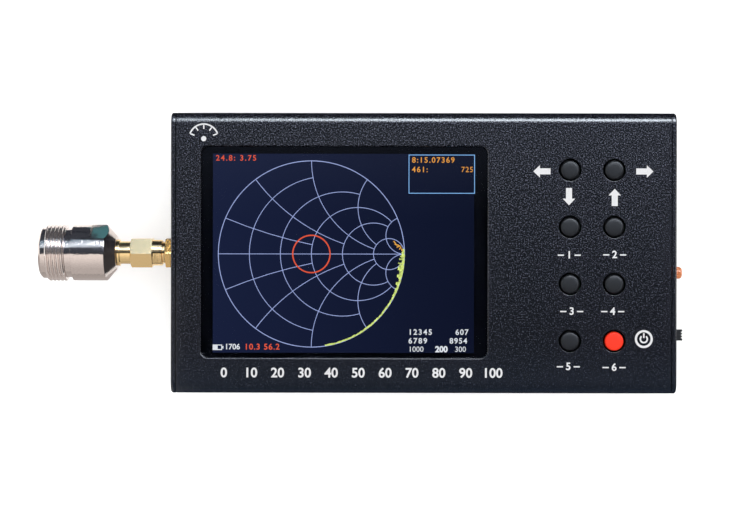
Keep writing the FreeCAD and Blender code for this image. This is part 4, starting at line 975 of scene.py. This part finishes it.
class ANALYZER_OT_inside(BuildStep, bpy.types.Operator):
    """Finishes of what the closed case hides: boards, battery, standoffs and small parts"""
    bl_idname = "analyzer.inside"
    bl_label = "Inside"

    def build(self, sizes, colours):
        steel = finish("turned_steel", (0.5, 0.5, 0.51), 0.2 * MM, 0.003 * MM, (0.22, 0.38), 0.1,
                       (1, 1, 6), Metallic=1.0)
        plastic = finish("moulded_black", (0.018, 0.018, 0.02), 0.2 * MM, 0.008 * MM, (0.35, 0.5))
        white = finish("moulded_white", (0.75, 0.74, 0.7), 0.3 * MM, 0.006 * MM, (0.35, 0.5), 0.04)
        mask = finish("solder_mask", (0.012, 0.09, 0.035), 1.2 * MM, 0.01 * MM, (0.25, 0.4), 0.3)
        foam = finish("foam", (0.025, 0.025, 0.026), 0.35 * MM, 0.05 * MM, (0.8, 0.95), 0.4)
        pouch = finish("pouch_foil", (0.6, 0.61, 0.63), 2.5 * MM, 0.05 * MM, (0.25, 0.45), 0.08,
                       Metallic=0.8)
        wire = finish("wire_sleeve", (0.42, 0.02, 0.02), 0.3 * MM, 0.006 * MM, (0.3, 0.45), 0.1)
        ribbon = finish("ribbon_film", (0.28, 0.13, 0.03), 0.6 * MM, 0.008 * MM, (0.25, 0.4), 0.2,
                        (0.05, 6, 1))
        light = finish("light_plate", (0.86, 0.86, 0.84), 1.5 * MM, 0.004 * MM, (0.3, 0.45), 0.03)
        seal = finish("soft_seal", (0.38, 0.08, 0.05), 0.3 * MM, 0.008 * MM, (0.5, 0.65), 0.15)
        repaint(steel, "rear_standoffs", "board_spacers", "front_standoffs", "lcd_tray",
                "shield_can", "slide_switch_housing")
        repaint(plastic, "ribbon_socket", "key_switches", "header_base", "header_socket", "chips",
                "lamp_holder", *("plunger_" + name for name in KEY_NAMES))
        repaint(white, "battery_plug", "battery_socket")
        repaint(mask, "front_board", "main_board")
        repaint(foam, "display_gasket", "battery_pad")
        repaint(pouch, "battery_cell")
        repaint(wire, "battery_lead")
        repaint(ribbon, "lcd_ribbon")
        repaint(light, "backlight_plate")
        repaint(seal, "sealing_ring")
        repaint(waxy_white(), "jack_insulator", "stem_insulator")


class ANALYZER_OT_stage(BuildStep, bpy.types.Operator):
    """Pale floor, soft studio light and the camera straight above"""
    bl_idname = "analyzer.stage"
    bl_label = "Stage"

    AIM = Vector((-13.3 * MM, 0.0, 27 * MM))
    DISTANCE = 485 * MM
    LEAN, ROLL = 0.25, 0.10    # of the camera, in degrees
    LENS = 85.13
    FLOOR = 8.0
    FLOOR_GLOW = 0.26
    WORLD = 1.5
    SURROUND_RADIUS = 1.2
    SURROUND_LENGTH = 4.0
    SURROUND_GAP = 0.026       # bare floor left round the case's middle line, each side
    DARK = (0.007, 0.010, 0.020)
    PALE = (0.78, 0.74, 0.72)
    DARK_NEAR = (0.055, 0.065, 0.085)
    LIFT = (0.30, 0.35, 0.50)
    BLUE_SHADE = (0.03, 0.04, 0.06)
    GREY = (0.20, 0.21, 0.23)
    WINDOW = (11.4, 12.4, 13.6)
    SOFT_WINDOW = (0.82, 1.0, 1.18)
    BLUE_ROOF = (0.80, 1.02, 1.5)
    GLOW = (0.25, 0.37, 0.50)
    TEAL = (0.09, 0.27, 0.31)
    SIDES_MEET = -0.215        # where the walls over the adapter end and those over the case start
    CARD_UNDER = -0.05 * MM    # height of the sheets that lie on the floor
    CARD_NEAR = -78 * MM       # the end next to the case of the sheets round the adapter
    CARD_LONG = 320 * MM
    CARD_DEEP = 100 * MM
    CARD_HIGH = 60 * MM

    def build(self, sizes, colours):
        scene = bpy.context.scene
        scene.view_settings.view_transform = "Standard"
        camera = bpy.data.objects.new("camera", bpy.data.cameras.new("camera"))
        camera.data.lens = self.LENS
        camera.data.clip_start, camera.data.clip_end = 0.01, 50
        lean = math.radians(self.LEAN)
        camera.location = self.AIM + Vector((math.sin(lean), 0, math.cos(lean))) * self.DISTANCE
        camera.rotation_euler = (0, lean, math.radians(self.ROLL))
        scene.collection.objects.link(camera)
        scene.camera = camera
        self.floor()
        self.world()
        self.surround()
        self.cards()

    def staged(self, name, mesh, material, *unseen):
        """Part of the studio, hidden from the given kinds of ray."""
        data = bpy.data.meshes.new(name)
        mesh.to_mesh(data)
        mesh.free()
        data.materials.append(material)
        made = bpy.data.objects.new(name, data)
        for ray in unseen:
            setattr(made, "visible_" + ray, False)
        bpy.context.scene.collection.objects.link(made)
        return made

    def floor(self):
        made, tree, shader = shaded("pale_floor", Roughness=0.9, Specular_IOR_Level=0.0,
                                    Emission_Strength=self.FLOOR_GLOW)
        tone = ramp(tree, noise(tree, 0.5), (0.3, (0.9, 0.9, 0.9)), (0.7, (0.92, 0.92, 0.92)))
        tree.links.new(tone, shader.inputs["Base Color"])
        tree.links.new(tone, shader.inputs["Emission Color"])
        self.staged("floor", slab(rectangle(0, 0, self.FLOOR, self.FLOOR), -0.2 * MM, 0), made)

    def world(self):
        world = bpy.data.worlds.new("studio")
        world.use_nodes = True
        sky = world.node_tree.nodes["Background"]
        sky.inputs["Color"].default_value = (1.0, 1.0, 1.0, 1)
        sky.inputs["Strength"].default_value = self.WORLD
        bpy.context.scene.world = world

    def surround(self):
        """Studio walls that only reflections see: a window over the top edge, a pale table
        below."""
        sheet = bmesh.new()
        radius, half = self.SURROUND_RADIUS, self.SURROUND_LENGTH / 2
        ends = [sheet.verts.new((x, -radius, 0)) for x in (-half, half)]
        edge = sheet.edges.new(ends)
        bmesh.ops.spin(sheet, geom=ends + [edge], cent=(0, 0, 0), axis=(-1, 0, 0), angle=math.pi,
                       steps=48)
        for side in (-1, 1):
            rim = [e for e in sheet.edges
                   if all(abs(v.co.y - side * radius) < 0.1 * MM for v in e.verts)]
            for vert in of_kind(bmesh.ops.extrude_edge_only(sheet, edges=rim), bmesh.types.BMVert):
                vert.co.y = side * self.SURROUND_GAP
                vert.co.z = -0.1 * MM
        self.staged("surround", sheet, self.surround_light(), "camera", "diffuse",
                    "volume_scatter", "shadow")

    def cards(self):
        """Sheets that only reflections see: one far off each end, and round the adapter a teal
        one for its wrench flat, three pale ones for its lower half, a dim one for its upper half
        and a bluish one for the nuts."""
        size, far = 2 * self.SURROUND_RADIUS, self.SURROUND_LENGTH / 2
        middle = self.CARD_NEAR - self.CARD_LONG / 2
        long, deep, high = self.CARD_LONG, self.CARD_DEEP, self.CARD_HIGH
        upright = Matrix.Rotation(math.radians(90), 4, "Y")
        facing = Matrix.Rotation(math.radians(90), 4, "X")
        self.card("dark_end", (-far, 0, 0), 0.8, size, self.DARK, turn=upright)
        self.card("grey_end", (far, 0, 0), size, size, self.GREY, turn=upright)
        near = [
            self.card("teal_card", (-94 * MM, 40 * MM, self.CARD_UNDER), 9 * MM, 22 * MM,
                      self.TEAL),
            self.card("pale_roof", (middle, -deep / 2 - 5.3 * MM, high), long, deep, self.PALE,
                      1.5),
            self.card("pale_side", (middle, -deep, high / 2), long, high, scaled(self.PALE, 0.85),
                      turn=facing),
            self.card("pale_base", (middle, -deep / 2 - 4 * MM, self.CARD_UNDER), long,
                      deep - 8 * MM, scaled(self.PALE, 0.68)),
            self.card("shade_base", (middle, 113 * MM, -0.07 * MM), long, 174 * MM,
                      self.DARK_NEAR),
            self.card("blue_roof", (-86 * MM, 81 * MM, high), 18 * MM, 78 * MM, self.BLUE_ROOF),
        ]
        self.keep_off_glass(near)

    def keep_off_glass(self, cards):
        """Keeps the light of these sheets out of the cover glass, so that it doesn't mirror
        them."""
        glass = bpy.data.collections.new("cover_glass_unlit")
        glass.objects.link(bpy.data.objects["cover_glass"])
        glass.collection_objects[0].light_linking.link_state = "EXCLUDE"
        for card in cards:
            card.light_linking.receiver_collection = glass

    def card(self, name, place, width, height, shade, brighter=1.0, turn=Matrix.Identity(4)):
        """Glowing sheet, brighter along its upper edge by the given share."""
        flat = slab(rectangle(0, 0, width, height), 0, 0)
        bmesh.ops.transform(flat, matrix=Matrix.Translation(place) @ turn, verts=flat.verts)
        made, tree, shader = glowing(name, 1.0)
        share = along(tree, "Y", 0.0, 1.0, place[1] - height / 2, place[1] + height / 2)
        tree.links.new(ramp(tree, share, (0.0, scaled(shade, 0.85)), (0.5, scaled(shade, 0.95)),
                            (0.8, scaled(shade, 0.5 + 0.5 * brighter)),
                            (1.0, scaled(shade, brighter))), shader.inputs["Emission Color"])
        return self.staged(name, flat, made, "camera", "diffuse", "transmission",
                           "volume_scatter", "shadow")

    def surround_light(self):
        """Light of the studio walls by their angle from the vertical: pale, dark, window, dark."""
        made, tree, shader = glowing("studio_walls", 1.0)
        turn = computed(tree, "ARCTAN2", places(tree)["Y"], places(tree)["Z"])
        share = between(tree, turn, 0.0, 1.0, -math.pi, math.pi)

        def walls(*stops):
            return ramp(tree, share, *[((angle + 180) / 360, shade) for angle, shade in stops])

        over_case = walls((-91, self.BLUE_SHADE), (-30, self.DARK), (2, self.DARK), (12, self.LIFT),
                          (28, self.LIFT), (33, self.WINDOW), (47, self.WINDOW),
                          (52, self.GLOW), (60, self.GLOW), (64, self.DARK))
        over_adapter = walls((-91, scaled(self.PALE, 0.8)), (-90, scaled(self.PALE, 0.8)),
                             (-89.8, self.BLUE_SHADE), (0, self.DARK_NEAR), (19, self.DARK_NEAR),
                             (24, self.SOFT_WINDOW), (34, self.SOFT_WINDOW), (40, self.GLOW),
                             (50, self.GLOW), (57, self.DARK_NEAR))
        side = along(tree, "X", 0.0, 1.0, self.SIDES_MEET - 0.01, self.SIDES_MEET + 0.01)
        tree.links.new(mixed(tree, side, over_adapter, over_case), shader.inputs["Emission Color"])
        return made


STEPS = [ANALYZER_OT_case, ANALYZER_OT_print, ANALYZER_OT_keys, ANALYZER_OT_screen,
         ANALYZER_OT_readout, ANALYZER_OT_side_fittings, ANALYZER_OT_jack, ANALYZER_OT_nut,
         ANALYZER_OT_adapter, ANALYZER_OT_inside, ANALYZER_OT_stage]


class ANALYZER_PT_panel(bpy.types.Panel):
    """Lists the building steps with the sizes and colours they use"""
    bl_idname = "ANALYZER_PT_panel"
    bl_label = "Antenna analyzer"
    bl_space_type = "VIEW_3D"
    bl_region_type = "UI"
    bl_category = "Analyzer"

    def draw(self, context):
        for step in STEPS:
            self.layout.operator(step.bl_idname)
        for group in (context.scene.analyzer_sizes, context.scene.analyzer_colours):
            box = self.layout.box()
            for name in group.__annotations__:
                box.prop(group, name)


CLASSES = [AnalyzerSizes, AnalyzerColours] + STEPS + [ANALYZER_PT_panel]


def register():
    for cls in CLASSES:
        bpy.utils.register_class(cls)
    bpy.types.Scene.analyzer_sizes = bpy.props.PointerProperty(type=AnalyzerSizes)
    bpy.types.Scene.analyzer_colours = bpy.props.PointerProperty(type=AnalyzerColours)


def unregister():
    del bpy.types.Scene.analyzer_colours
    del bpy.types.Scene.analyzer_sizes
    for cls in reversed(CLASSES):
        bpy.utils.unregister_class(cls)


def main():
    register()
    for step in STEPS:
        group, name = step.bl_idname.split(".")
        getattr(getattr(bpy.ops, group), name)()


if __name__ == "__main__":
    main()
